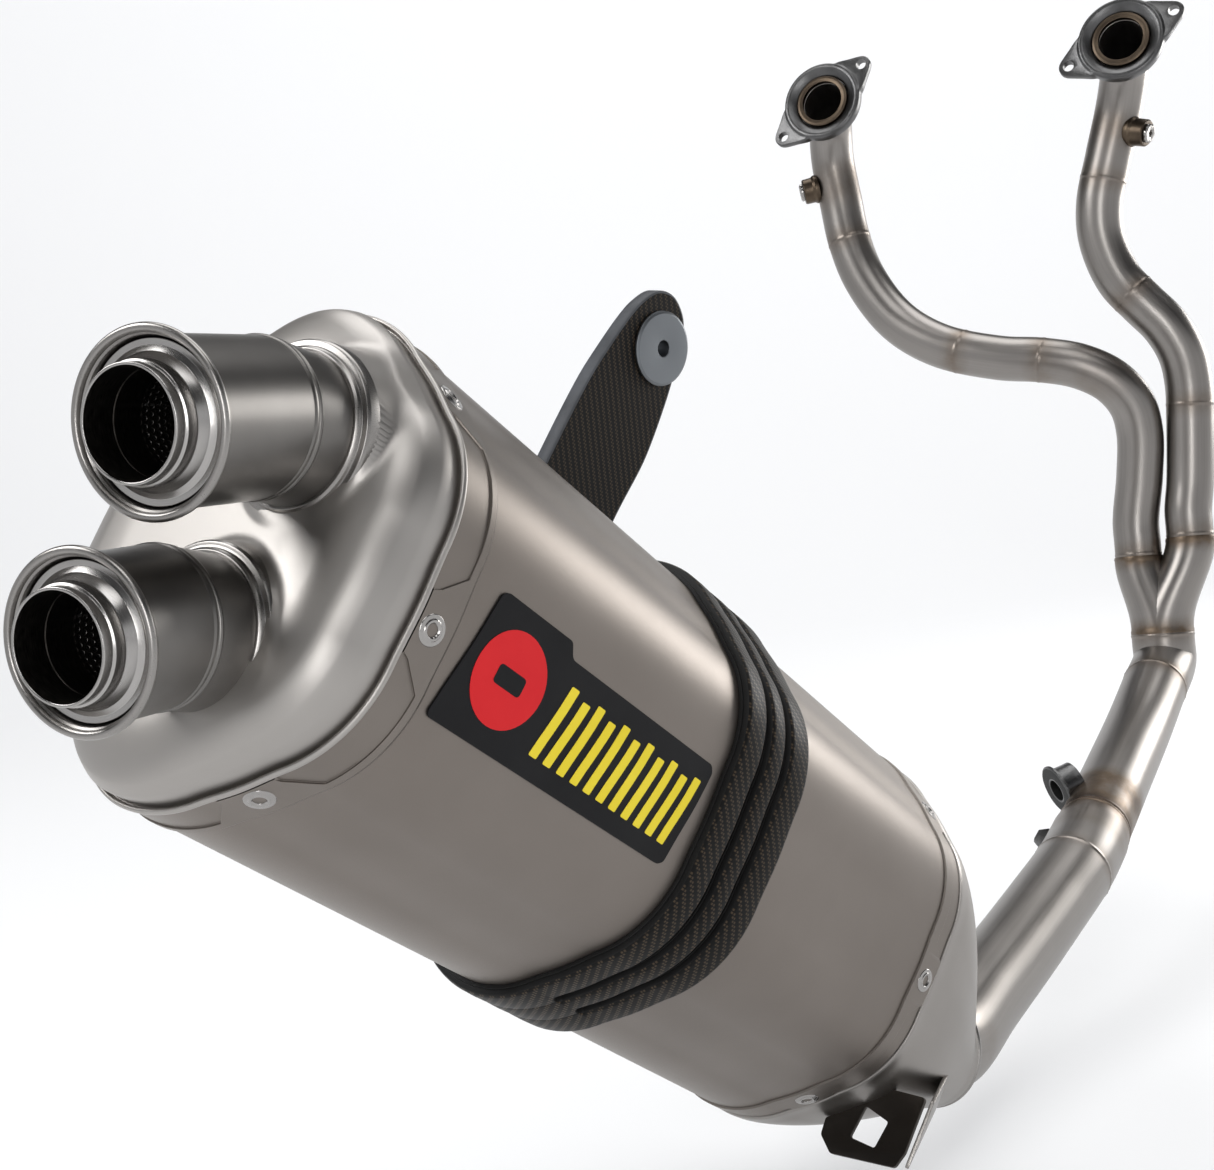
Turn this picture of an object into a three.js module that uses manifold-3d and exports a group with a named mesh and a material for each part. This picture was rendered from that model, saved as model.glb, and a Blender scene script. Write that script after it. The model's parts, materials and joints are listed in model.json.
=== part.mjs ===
// Motorcycle racing exhaust: twin-outlet hexagonal muffler, carbon clamp and
// hanger, slip-jointed link pipe, two-into-one collector and two primaries.
// Millimetres. Vehicle frame: +X right, +Y forward, +Z up, origin on the hanger
// bolt's axis, 2.5 mm inside the hanger bush's outer face.
import * as THREE from 'three';
import { mergeVertices } from 'three/addons/utils/BufferGeometryUtils.js';
import Module from 'manifold-3d';

const wasm = await Module();
wasm.setup();

// ------------------------------------------------------------------ dimensions
const SEC_H = 121;            // sharp half height of the hexagonal section
const SEC_W = 91;             // half width
const SEC_S = 54;             // half length of the vertical sides
const SEC_R = 59;             // corner radius
const SLEEVE_T = 1.0;         // titanium sleeve wall
const EXIT_SLOPE_X = 0.178;   // exit rim: y = EXIT_SLOPE_X x + EXIT_SLOPE_Z z on the outboard half
const EXIT_SLOPE_IN = -0.02;  // and EXIT_SLOPE_IN x on the inboard half
const EXIT_SLOPE_Z = -0.05;
const INLET_Y = 444;          // inlet end of the sleeve on the axis
const INLET_SLOPE_X = -0.095;
const INLET_SLOPE_Z = 0.010;
const BAND_W = 17;            // riveted end bands
const BAND_T = 0.9;
const RIVET_R = 6.2;
const CLAMP_Y0 = 209, CLAMP_Y1 = 266, CLAMP_SLOPE = -0.035;
const CLAMP_T = 3.4, LINER_T = 1.6;
const TIP_AXIS = new THREE.Vector3(-0.334, 0.791, 0.512).normalize(); // mouth -> body
const TIP_R = 29.6, TIP_WALL = 1.2, TIP_RIM_R = 33;
const MOUTH_U = new THREE.Vector3(60.9, -96.9, 3.7), MOUTH_L = new THREE.Vector3(47.9, -71.9, -68.5);
const TIP_LEN_U = 58, TIP_LEN_L = 40, NECK_LEN = 23;
const DAMPER_R = 20.2, DAMPER_LEN_U = 92, DAMPER_LEN_L = 72;
const DAMPER_OUT = 8.5;       // how far the damper stands out of its mouth
const SLIP_C = new THREE.Vector3(52, 524, -26);       // collar centre, muffler frame
const SLIP_AXIS = new THREE.Vector3(0, 0.95, 0.3122).normalize();
const STUB_R = 30.6, STUB_RI = 29.3, STUB_LEN = 40;
const SEAL_R = 28.7, SEAL_RI = 27.6;
const LINK_R = 27.0, LINK_T = 1.2;                    // 54 mm link pipe
const MID_R = 25.4;                                   // 50.8 mm mid pipe
const PRIM_R = 19.05, PRIM_T = 1.2;                   // 38.1 mm primaries
const BUSH_R = 21, BUSH_HOLE_R = 4.6;

// muffler frame (x outboard, y towards the engine, z up the section) in the vehicle frame
const MUFFLER = new THREE.Matrix4().makeBasis(
  new THREE.Vector3(0.92676, -0.33374, -0.17242),
  new THREE.Vector3(0.17613, 0.79147, -0.58529),
  new THREE.Vector3(0.33180, 0.51206, 0.79228));
MUFFLER.setPosition(-34.12, -345.01, -77.01);

// ------------------------------------------------------------------ materials
const mat = (color, roughness, metalness) => new THREE.MeshStandardMaterial({ color, roughness, metalness });
const M = {
  titanium: mat(0x8d867f, 0.42, 0.9), satin: mat(0xa9a6a1, 0.35, 0.95), polished: mat(0xcfcdca, 0.15, 1.0),
  tube: mat(0x99938b, 0.3, 0.95), flange: mat(0x8a8a88, 0.45, 0.9), carbon: mat(0x1d1a18, 0.3, 0.1),
  rubber: mat(0x161616, 0.8, 0.0), alloy: mat(0xb7bfc6, 0.35, 0.9), dark: mat(0x2c2724, 0.45, 0.6),
  steel: mat(0xb9b6b0, 0.3, 1.0), label: mat(0x111111, 0.5, 0.0), wool: mat(0xd8cfa8, 1.0, 0.0),
  graphite: mat(0x3a3a3c, 0.7, 0.2), perf: mat(0x6f6a64, 0.5, 0.9),
};

// ------------------------------------------------------------------ helpers
const V = (x, y, z) => new THREE.Vector3(x, y, z);

function solid(geometry) {
  let g = geometry.index ? geometry.toNonIndexed() : geometry.clone();
  g.deleteAttribute('normal'); g.deleteAttribute('uv');
  g = mergeVertices(g, 1e-4);
  // drop triangles that closed up when vertices merged
  const ix = g.index.array, keep = [];
  for (let i = 0; i < ix.length; i += 3) {
    const [a, b, c] = [ix[i], ix[i + 1], ix[i + 2]];
    if (a !== b && b !== c && a !== c) keep.push(a, b, c);
  }
  const s = new wasm.Manifold(new wasm.Mesh({ numProp: 3,
    vertProperties: new Float32Array(g.attributes.position.array), triVerts: new Uint32Array(keep) }));
  return s;
}
function geometryOf(s) {
  const m = s.getMesh();
  const g = new THREE.BufferGeometry();
  g.setAttribute('position', new THREE.BufferAttribute(new Float32Array(m.vertProperties), 3));
  g.setIndex(new THREE.BufferAttribute(new Uint32Array(m.triVerts), 1));
  g.computeVertexNormals();
  return g;
}
const cut = (a, ...bs) => bs.reduce((s, b) => s.subtract(b), a);
const join = (a, ...bs) => bs.reduce((s, b) => s.add(b), a);

// rounded hexagon, n+1 points to a corner arc, grown outwards by o
function hexagon(o = 0, n = 3) {
  const L = Math.hypot(SEC_W, SEC_H - SEC_S);
  const H = SEC_H + o * L / SEC_W, W = SEC_W + o;
  const S = H - (SEC_H - SEC_S) / SEC_W * W, R = Math.max(SEC_R + o, 1.5);
  const C = [[0, H], [-W, S], [-W, -S], [0, -H], [W, -S], [W, S]];
  const pts = [];
  C.forEach((p, i) => {
    const a = new THREE.Vector2(...C[(i + 5) % 6]).sub(new THREE.Vector2(...p));
    const b = new THREE.Vector2(...C[(i + 1) % 6]).sub(new THREE.Vector2(...p));
    const half = Math.acos(a.clone().normalize().dot(b.clone().normalize())) / 2;
    const t = R / Math.tan(half);
    const s = new THREE.Vector2(...p).add(a.clone().setLength(t));
    const e = new THREE.Vector2(...p).add(b.clone().setLength(t));
    const c = new THREE.Vector2(...p).add(a.clone().normalize().add(b.clone().normalize()).setLength(R / Math.sin(half)));
    const a0 = Math.atan2(s.y - c.y, s.x - c.x);
    let da = Math.atan2(e.y - c.y, e.x - c.x) - a0;
    da = Math.atan2(Math.sin(da), Math.cos(da));
    for (let k = 0; k <= n; k++) pts.push([c.x + R * Math.cos(a0 + da * k / n), c.y + R * Math.sin(a0 + da * k / n)]);
  });
  return pts; // [x, z], anticlockwise seen from -Y
}
const hexRing = (o, yOf, n) => hexagon(o, n).map(([x, z]) => V(x, yOf(x, z), z));
const exitY = (d) => (x, z) => EXIT_SLOPE_IN * x + (EXIT_SLOPE_X - EXIT_SLOPE_IN) * (x + Math.hypot(x, 10)) / 2 + EXIT_SLOPE_Z * z + d - 0.5;
const inletY = (d) => (x, z) => INLET_Y + INLET_SLOPE_X * x + INLET_SLOPE_Z * z + d;
const clampY = (y) => (x, z) => y + CLAMP_SLOPE * z;

// closed body through a list of rings of equal length: a closed cylinder whose rows
// of vertices are moved onto the rings
function loft(rings) {
  const N = rings[0].length, K = rings.length - 1;
  const g = new THREE.CylinderGeometry(1, 1, K, N, K, false);
  const p = g.attributes.position, v = V();
  const centre = rings.map((r) => r.reduce((s, q) => s.add(q), V()).divideScalar(N));
  for (let i = 0; i < p.count; i++) {
    v.fromBufferAttribute(p, i);
    const row = Math.round(K / 2 - v.y);
    if (Math.hypot(v.x, v.z) < 1e-6) v.copy(centre[row]);
    else v.copy(rings[row][((Math.round(Math.atan2(v.x, v.z) / (2 * Math.PI) * N) % N) + N) % N]);
    p.setXYZ(i, v.x, v.y, v.z);
  }
  let s = solid(g);
  if (s.volume() < 0) {   // rings ran the other way round: turn the faces over
    const ix = g.index.array;
    for (let i = 0; i < ix.length; i += 3) [ix[i + 1], ix[i + 2]] = [ix[i + 2], ix[i + 1]];
    s = solid(g);
  }
  return s;
}
function frameOf(axis) {
  const y = axis.clone().normalize();
  const up = Math.abs(y.z) < 0.9 ? V(0, 0, 1) : V(1, 0, 0);
  const x = up.clone().cross(y).normalize();
  return [x, y, y.clone().cross(x).negate()];
}
const circleRing = (c, axis, r, n) => {
  const [x, , z] = frameOf(axis);
  return Array.from({ length: n }, (_, i) => {
    const a = 2 * Math.PI * i / n;
    return c.clone().addScaledVector(x, r * Math.cos(a)).addScaledVector(z, r * Math.sin(a));
  });
};
// turned piece: profile [radius, axial] closed on itself or on the axis
function turned(profile, origin, axis, seg) {
  const pts = profile.map(([r, y]) => new THREE.Vector2(r, y));
  if (profile[0][0] > 1e-6 || profile.at(-1)[0] > 1e-6) pts.push(pts[0].clone());
  const g = new THREE.LatheGeometry(pts, seg);
  const [x, y, z] = frameOf(axis);
  g.applyMatrix4(new THREE.Matrix4().makeBasis(x, y, z.clone()).setPosition(origin));
  let s = solid(g);
  if (s.volume() < 0) { const ix = g.index.array;
    for (let i = 0; i < ix.length; i += 3) [ix[i + 1], ix[i + 2]] = [ix[i + 2], ix[i + 1]];
    s = solid(g); }
  return s;
}
const rod = (a, b, r, seg = 16) => turned([[0, 0], [r, 0], [r, a.distanceTo(b)], [0, a.distanceTo(b)]], a, b.clone().sub(a), seg);
// tube or rod along a smooth centreline
function swept(points, r, ri, seg, steps, tension = 0.5) {
  const curve = points.length === 2 ? new THREE.LineCurve3(points[0], points[1])
    : new THREE.CatmullRomCurve3(points, false, 'centripetal', tension);
  const s = new THREE.Shape(Array.from({ length: seg }, (_, i) =>
    new THREE.Vector2(r * Math.cos(2 * Math.PI * i / seg), r * Math.sin(2 * Math.PI * i / seg))));
  if (ri > 0) s.holes.push(new THREE.Path(Array.from({ length: seg }, (_, i) =>
    new THREE.Vector2(ri * Math.cos(-2 * Math.PI * i / seg), ri * Math.sin(-2 * Math.PI * i / seg)))));
  return solid(new THREE.ExtrudeGeometry(s, { steps, bevelEnabled: false, extrudePath: curve }));
}
// flat plate: outline in (u, v), thickness t from origin along w = u x v
function plate(outline, t, origin, u, v, holes = []) {
  const s = new THREE.Shape(outline.map(([a, b]) => new THREE.Vector2(a, b)));
  for (const h of holes) s.holes.push(new THREE.Path(h.map(([a, b]) => new THREE.Vector2(a, b))));
  const g = new THREE.ExtrudeGeometry(s, { depth: t, bevelEnabled: false });
  g.applyMatrix4(new THREE.Matrix4().makeBasis(u, v, u.clone().cross(v)).setPosition(origin));
  return solid(g);
}
const arc = (cx, cy, r, a0, a1, n) => Array.from({ length: n + 1 }, (_, i) => {
  const a = (a0 + (a1 - a0) * i / n) * Math.PI / 180;
  return [cx + r * Math.cos(a), cy + r * Math.sin(a)];
});
const along = (p, axis, d) => p.clone().addScaledVector(axis, d);

const group = new THREE.Group();
const muffler = new THREE.Group();
MUFFLER.decompose(muffler.position, muffler.quaternion, muffler.scale);
muffler.scale.set(1, 1, 1);
group.add(muffler);
function put(parent, name, s, material) {
  const mesh = new THREE.Mesh(geometryOf(s), material);
  mesh.name = name;
  parent.add(mesh);
  return s;
}
// a vehicle-frame point or direction of something given in the muffler frame
const toVehicle = (p) => p.clone().applyMatrix4(MUFFLER);
const turnToVehicle = (d) => d.clone().transformDirection(MUFFLER);

// ------------------------------------------------------------------ rivets
// one at the middle of each of the six panels, square to the panel
const panels = (() => {
  const L = Math.hypot(SEC_W, SEC_H - SEC_S), D = SEC_H * SEC_W / L;
  const nx = (SEC_H - SEC_S) / L, nz = SEC_W / L;
  const mid = (sx, sz) => {   // middle of the flat part of a sloping panel
    const tx = SEC_W / 2 + 6, tz = SEC_H - (SEC_H - SEC_S) / SEC_W * tx;
    return { c: [sx * tx, sz * tz], n: [sx * nx, sz * nz] };
  };
  return [{ c: [SEC_W, -5], n: [1, 0] }, mid(1, 1), mid(-1, 1), { c: [-SEC_W, -5], n: [-1, 0] }, mid(-1, -1), mid(1, -1)];
})();
const rivetSpots = (yOf) => panels.map(({ c, n }) => ({ p: V(c[0], yOf(c[0], c[1]), c[1]), n: V(n[0], 0, n[1]).normalize() }));
const exitRivets = rivetSpots(exitY(9)), inletRivets = rivetSpots(inletY(-9));
const rivetHoles = (spots) => spots.map(({ p, n }) => rod(along(p, n, -9), along(p, n, 6), 2.6, 6));

// ------------------------------------------------------------------ muffler shells
const sleeve = cut(
  loft([hexRing(0, exitY(1.3)), hexRing(0, inletY(-1.3))]),
  loft([hexRing(-SLEEVE_T, exitY(-5)), hexRing(-SLEEVE_T, inletY(5))]),
  ...rivetHoles(exitRivets), ...rivetHoles(inletRivets));
put(muffler, 'muffler_sleeve', sleeve, M.titanium);

const band = (y0, y1, spots) => cut(
  loft([hexRing(0.3 + BAND_T, y0), hexRing(0.3 + BAND_T, y1)]),
  loft([hexRing(0.3, (x, z) => y0(x, z) - 5), hexRing(0.3, (x, z) => y1(x, z) + 5)]),
  ...rivetHoles(spots));
put(muffler, 'exit_band', band(exitY(1.5), exitY(1.5 + BAND_W), exitRivets), M.titanium);
put(muffler, 'inlet_band', band(inletY(-1.5 - BAND_W), inletY(-1.5), inletRivets), M.titanium);

const rivet = ({ p, n }) => {
  const seat = 0.3 + BAND_T + 0.3;
  const pr = [[0, -4.2], [2.2, -4.2], [2.2, seat], [RIVET_R, seat], [RIVET_R, seat + 0.7], [2.4, seat + 1.3], [2.4, seat + 0.25], [0, seat + 0.25]];
  return turned(pr, p, n, 8);
};
exitRivets.forEach((s, i) => put(muffler, `rivet_exit_${i + 1}`, rivet(s), M.steel));
inletRivets.forEach((s, i) => put(muffler, `rivet_inlet_${i + 1}`, rivet(s), M.steel));

// exit cap: skirt inside the sleeve, lip over the rim, domed face with two necks
const FACE_Y = (d) => (x, z) => -20.5 - 0.05 * z + 0.03 * x + d;
const blend = (a, b, k) => (x, z) => a(x, z) * (1 - k) + b(x, z) * k;
const capOuter = [
  hexRing(-1.4, exitY(15)), hexRing(-1.4, exitY(1.0)), hexRing(1.2, exitY(1.0)), hexRing(1.2, exitY(-2.5)),
  hexRing(-0.8, exitY(-7)), hexRing(-5, blend(exitY(-7), FACE_Y(0), 0.45)), hexRing(-13, blend(exitY(-7), FACE_Y(0), 0.74)),
  hexRing(-26, blend(exitY(-7), FACE_Y(0), 0.93)), hexRing(-44, FACE_Y(0))];
const capInner = [
  hexRing(-3.0, exitY(20)), hexRing(-3.0, exitY(0.0)), hexRing(-2.6, exitY(-6)),
  hexRing(-6.4, blend(exitY(-5), FACE_Y(1.8), 0.45)), hexRing(-14, blend(exitY(-5), FACE_Y(1.8), 0.74)),
  hexRing(-27, blend(exitY(-5), FACE_Y(1.8), 0.93)), hexRing(-44, FACE_Y(1.8))];
const NECK_MID = V(-0.2, 0.92, 0.33).normalize();   // the neck leans half way to the body axis
const tip = (mouth, len) => {
  const seam = along(mouth, TIP_AXIS, len);
  const ring = along(seam, NECK_MID, NECK_LEN);
  return { mouth, seam, ring, root: along(ring, NECK_MID, 14) };
};
const TU = tip(MOUTH_U, TIP_LEN_U), TL = tip(MOUTH_L, TIP_LEN_L);
const neckOuter = (t) => loft([circleRing(along(t.ring, NECK_MID, -1.5), NECK_MID, TIP_R + 1.6, 18), circleRing(along(t.ring, NECK_MID, 12), NECK_MID, TIP_R + 3.2, 18)]);
const neckBore = (t) => rod(along(t.ring, NECK_MID, -12), along(t.ring, NECK_MID, 24), TIP_R + 0.35, 18);
let cap = cut(loft(capOuter), loft(capInner), ...rivetHoles(exitRivets));
cap = join(cap, ...[TU, TL].map((t) => neckOuter(t).subtract(loft(capInner.map((r) => r.map((q) => q.clone()))))));
cap = cut(cap, neckBore(TU), neckBore(TL));
put(muffler, 'exit_cap', cap, M.satin);

// outlet necks (mitred elbow stubs) and outlet sleeves with a rolled mouth
function neck(t) {
  const n = 18, mitre = TIP_AXIS.clone().add(NECK_MID).normalize();
  const skew = (r) => circleRing(V(0, 0, 0), NECK_MID, r, n).map((q) => {   // run the neck's lines onto the mitre plane
    const p = along(q.add(t.ring), NECK_MID, -NECK_LEN);
    const k = t.seam.clone().sub(p).dot(mitre) / NECK_MID.dot(mitre);
    return along(p, NECK_MID, k + 0.2);
  });
  const outer = loft([skew(TIP_R - 0.4), circleRing(along(t.ring, NECK_MID, 10), NECK_MID, TIP_R - 0.4, n)]);
  const inner = loft([skew(TIP_R - 1.6).map((q) => along(q, NECK_MID, -5)), circleRing(along(t.ring, NECK_MID, 15), NECK_MID, TIP_R - 1.6, n)]);
  return cut(outer, inner);
}
put(muffler, 'outlet_neck_upper', neck(TU), M.satin);
put(muffler, 'outlet_neck_lower', neck(TL), M.satin);
function outletSleeve(t, len) {
  const n = 18, mitre = TIP_AXIS.clone().add(NECK_MID).normalize();
  const ri = TIP_R - TIP_WALL;
  const pr = [[ri, 6], [ri + 0.8, 3.2], [ri + 2.4, 0.9], [TIP_RIM_R - 1.2, 0.2], [TIP_RIM_R, 1.6], [TIP_RIM_R - 0.5, 3.4], [TIP_R + 0.2, 4.6],
    [TIP_R, 7], [TIP_R, len + 16], [ri, len + 16]];
  const body = turned(pr, t.mouth, TIP_AXIS, n);
  // trimmed at the mitre
  const far = along(t.seam, mitre, -0.2);
  const block = rod(far, along(far, mitre, 60), 80, 12);
  return cut(body, block);
}
put(muffler, 'outlet_sleeve_upper', outletSleeve(TU, TIP_LEN_U), M.satin);
put(muffler, 'outlet_sleeve_lower', outletSleeve(TL, TIP_LEN_L), M.satin);

// removable noise dampers: stepped lip, dished flange, reduced tube
function damper(t, len) {
  const fr = TIP_R - TIP_WALL - 0.5;
  const ri = DAMPER_R - 1.2;
  const pr = [[ri, -DAMPER_OUT], [DAMPER_R, -DAMPER_OUT], [DAMPER_R, -4.3], [DAMPER_R + 0.9, -3.8], [DAMPER_R + 0.9, 0.8],
    [24, 4.8], [fr, 4.4], [fr, 22], [fr - 1.2, 22], [fr - 1.2, 6.0], [24, 6.4], [DAMPER_R + 0.9, 3.4], [DAMPER_R, 22],
    [17.5, 30], [17.5, len], [16.3, len], [16.3, 29.6], [ri, 21.4]];
  return turned(pr, t.mouth, TIP_AXIS, 16);
}
const screwAt = (t) => {   // radial screw low in the bore, through the tube and the skirt
  const [x, , z] = frameOf(TIP_AXIS);
  const out = V(0, 0, -1).addScaledVector(TIP_AXIS, TIP_AXIS.z).normalize();
  return { p: along(t.mouth, TIP_AXIS, 14), out };
};
for (const [name, t, len] of [['upper', TU, DAMPER_LEN_U], ['lower', TL, DAMPER_LEN_L]]) {
  const { p, out } = screwAt(t);
  const r0 = TIP_R - TIP_WALL - 0.5;
  const hole = rod(along(p, out, 12), along(p, out, r0 + 1), 2.4, 8);
  put(muffler, `damper_${name}`, cut(damper(t, len), hole), M.polished);
  const scr = turned([[0, 16.6], [2.0, 15.6], [4.0, 15.6], [4.0, 18.0], [2.0, 18.0], [2.0, r0 - 0.05], [0, r0 - 0.05]], p, out, 10);
  put(muffler, `damper_screw_${name}`, scr, M.steel);
}

// inlet cap: skirt inside the sleeve, cone running into the slip collar
const NSEG = hexagon(0).length;
const collarRing = (r, d) => {   // ring of NSEG points whose angles follow the hexagon's
  const c = along(SLIP_C, SLIP_AXIS, d);
  const u = V(1, 0, 0), w = u.clone().cross(SLIP_AXIS).normalize();
  return hexagon(0).map(([x, z]) => {
    const a = Math.atan2(z, x);
    return c.clone().addScaledVector(u, r * Math.cos(a)).addScaledVector(w, r * Math.sin(a));
  });
};
const mixRing = (A, B, k, bulge = 0) => A.map((p, i) => p.clone().lerp(B[i], k).add(p.clone().sub(V(0, p.y, 0)).setLength(bulge)));
const inletCapOuter = (g) => {
  const a = hexRing(1.0 + g, inletY(6)), b = collarRing(STUB_R + 2.8 + g, -3);
  return loft([hexRing(g ? 1.0 + g : -1.4, inletY(-16)), hexRing(g ? 1.0 + g : -1.4, inletY(-1.0)), hexRing(1.0 + g, inletY(-1.0)), a,
    mixRing(a, b, 0.14, 3), mixRing(a, b, 0.34, 5), mixRing(a, b, 0.62, 2.5), b, collarRing(STUB_R + 2.8 + g, 0)]);
};
const inA2 = hexRing(-0.8, inletY(6)), inB2 = collarRing(STUB_R + 1.2, -3);
const inletCapInner = loft([hexRing(-3.0, inletY(-22)), hexRing(-3.0, inletY(0)), inA2,
  mixRing(inA2, inB2, 0.14, 2.4), mixRing(inA2, inB2, 0.34, 4.2), mixRing(inA2, inB2, 0.62, 2.0), inB2, collarRing(STUB_R + 1.2, 4)]);
const stubRun = rod(along(SLIP_C, SLIP_AXIS, -STUB_LEN - 3), along(SLIP_C, SLIP_AXIS, 10), STUB_R + 0.6, 24);
const inletCap = cut(inletCapOuter(0), inletCapInner, stubRun, ...rivetHoles(inletRivets));
put(muffler, 'inlet_cap', inletCap, M.satin);

const tubeSeg = 20;
const ringTube = (c, axis, d0, d1, ro, ri, seg) => turned([[ri, d0], [ro, d0], [ro, d1], [ri, d1]], c, axis, seg);
put(muffler, 'inlet_stub', ringTube(SLIP_C, SLIP_AXIS, -STUB_LEN, 6.5, STUB_R, STUB_RI, tubeSeg), M.satin);
put(muffler, 'inlet_collar', turned([[STUB_R + 0.6, 0.4], [STUB_R + 2.6, 0.4], [STUB_R + 3.2, 1.8], [STUB_R + 2.6, 4.6], [STUB_R + 0.6, 4.6]], SLIP_C, SLIP_AXIS, tubeSeg), M.polished);

// ------------------------------------------------------------------ inside the muffler
const coreStart = along(SLIP_C, SLIP_AXIS, -STUB_LEN - 0.6);
const corePath = [coreStart, along(coreStart, SLIP_AXIS, -16), V(36, 425, -34), V(20, 375, -18), V(8, 330, -6), V(4, 285, 0), V(4, 105, 0)];
put(muffler, 'perforated_core', swept(corePath, 27.5, 26.3, 12, 10), M.perf);
const baffleY = 128;
const plateOf = (o, y0, y1) => loft([hexRing(o, () => y0), hexRing(o, () => y1)]);
put(muffler, 'baffle_plate', cut(plateOf(-1.4, baffleY, baffleY + 1.5), rod(V(4, 120, 0), V(4, 140, 0), 28.8, 20)), M.perf);
put(muffler, 'packing_wool', cut(plateOf(-3.2, baffleY + 2, 404), swept([...corePath.slice(0, -1), V(4, 82, 0)], 28.6, 0, 12, 11)), M.wool);

// ------------------------------------------------------------------ label plate
const labelOutline = [[43, -32], [194, -31], [197, -29], [202, 15.5], [199.5, 18.5], [96, 18.5], [92, 24.5], [51, 24.5], [48.5, 22.5], [41.5, -30]];
const labelPrism = plate(labelOutline, 20, V(82, 0, 0), V(0, 1, 0), V(0, 0, 1));
const labelBody = cut(loft([hexRing(1.1, () => 30, 3), hexRing(1.1, () => 208, 3)]), loft([hexRing(0.35, () => 20, 3), hexRing(0.35, () => 220, 3)])).intersect(labelPrism);
put(muffler, 'label_plate', labelBody, M.label);

// ------------------------------------------------------------------ clamp and hanger
const liner = cut(loft([hexRing(0.4 + LINER_T, clampY(CLAMP_Y0 + 3)), hexRing(0.4 + LINER_T, clampY(CLAMP_Y1 - 3))]),
  loft([hexRing(0.4, clampY(CLAMP_Y0 - 9)), hexRing(0.4, clampY(CLAMP_Y1 + 9))]));
const slotBox = (y0, y1) => {   // a slot that runs from over the top round the outboard side to under the bottom
  const outline = [[y0, -92], [y0 + 1.5, -95], [y1 - 1.5, -95], [y1, -92], [y1, 96], [y0, 96]];
  return plate(outline, 150, V(22, 0, 0), V(0, 1, 0), V(0, 0, 1));
};
const slots = [slotBox(226.5, 231), slotBox(243.5, 248)];
put(muffler, 'clamp_liner', cut(liner, ...slots), M.rubber);
const cIn = 0.4 + LINER_T + 0.3;
let clamp = cut(loft([hexRing(cIn + 1.6, clampY(CLAMP_Y0)), hexRing(cIn + CLAMP_T, clampY(CLAMP_Y0 + 3)), hexRing(cIn + CLAMP_T, clampY(CLAMP_Y1 - 3)), hexRing(cIn + 1.6, clampY(CLAMP_Y1))]),
  loft([hexRing(cIn, clampY(CLAMP_Y0 - 9)), hexRing(cIn, clampY(CLAMP_Y1 + 9))]));
// three ribs: shallow steps each side of the slots
clamp = cut(clamp, ...slots);
const armX = -(SEC_W + cIn + CLAMP_T + 0.4);        // inner face of the clamp-side of the arm
const boltYZ = [[224, 26], [252, 26], [224, -24], [252, -24]];
const boltHoles = (r) => boltYZ.map(([y, z]) => rod(V(armX - 20, y, z), V(armX + 12, y, z), r, 10));
put(muffler, 'clamp_band', cut(clamp, ...boltHoles(3.3)), M.carbon);

const armT = 9.5, bushY = 234, bushZ = 249, faceX = armX - 0.0;
const armOutline = [[202, -36], [267, -36], [268, 60], [261, 150], [262, 190], [260.5, 206], [256.5, 230], [253, 245], [251, 256], [246, 267], [238.5, 275], [226, 279], [214, 274], [206.5, 262], [203, 250], [199, 225], [197, 206], [197, 150], [200, 60]];
const bushHole = rod(V(armX - 20, bushY, bushZ), V(armX + 10, bushY, bushZ), 15.0, 20);
put(muffler, 'hanger_arm', cut(plate(armOutline, armT, V(armX - armT, 0, 0), V(0, 1, 0), V(0, 0, 1)), bushHole, ...boltHoles(3.3)), M.carbon);
// flanged bush: barrel through the arm, outer flange, and a nut-side flange
const bx = V(1, 0, 0);
put(muffler, 'hanger_bush', turned([[BUSH_HOLE_R, 0], [BUSH_R, 0], [BUSH_R, -2.2], [14.7, -2.4], [14.7, -14.6], [BUSH_HOLE_R, -14.6]].map(([r, y]) => [r, y]), V(armX + 2.8, bushY, bushZ), bx, 24), M.alloy);
put(muffler, 'hanger_bush_flange', turned([[BUSH_HOLE_R, 0], [BUSH_R, 0], [BUSH_R, -2.4], [BUSH_HOLE_R, -2.4]], V(armX - 12.2, bushY, bushZ), bx, 20), M.alloy);
boltYZ.forEach(([y, z], i) => put(muffler, `clamp_bolt_${i + 1}`, turned([[0, 0], [5, 0], [5, 5], [2.9, 5], [2.9, armT + 7.4], [0, armT + 7.4]], V(armX - armT - 5.4, y, z), bx, 10), M.steel));

// ------------------------------------------------------------------ lower bracket
const by = 459;
const tab = [[50, -88], [78, -61], [101, -58], [101.5, -88], [99, -97], [60.5, -104], [51, -97]];
const window_ = [[68, -74], [66, -92], [84, -92], [86, -77]];
put(muffler, 'lower_bracket', plate(tab.map(([x, z]) => [x, z]), 2.5, V(0, by, 0), V(1, 0, 0), V(0, 0, 1), [window_]).subtract(inletCapOuter(0.5)), M.dark);
put(muffler, 'bracket_gusset', plate([[0.5, -58], [0.5, -96], [18, -82], [44, -58], [45, -34], [30, -40]], 2.0,
  V(101.2, by + 3.4, 0), V(-0.447, 0.894, 0).normalize(), V(0, 0, 1)).subtract(inletCapOuter(0.5)), M.satin);

// ------------------------------------------------------------------ link side, vehicle frame
const slipC = toVehicle(SLIP_C), slipA = turnToVehicle(SLIP_AXIS);
put(group, 'slip_seal', ringTube(slipC, slipA, -26, -1, SEAL_R, SEAL_RI, tubeSeg), M.graphite);

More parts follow.
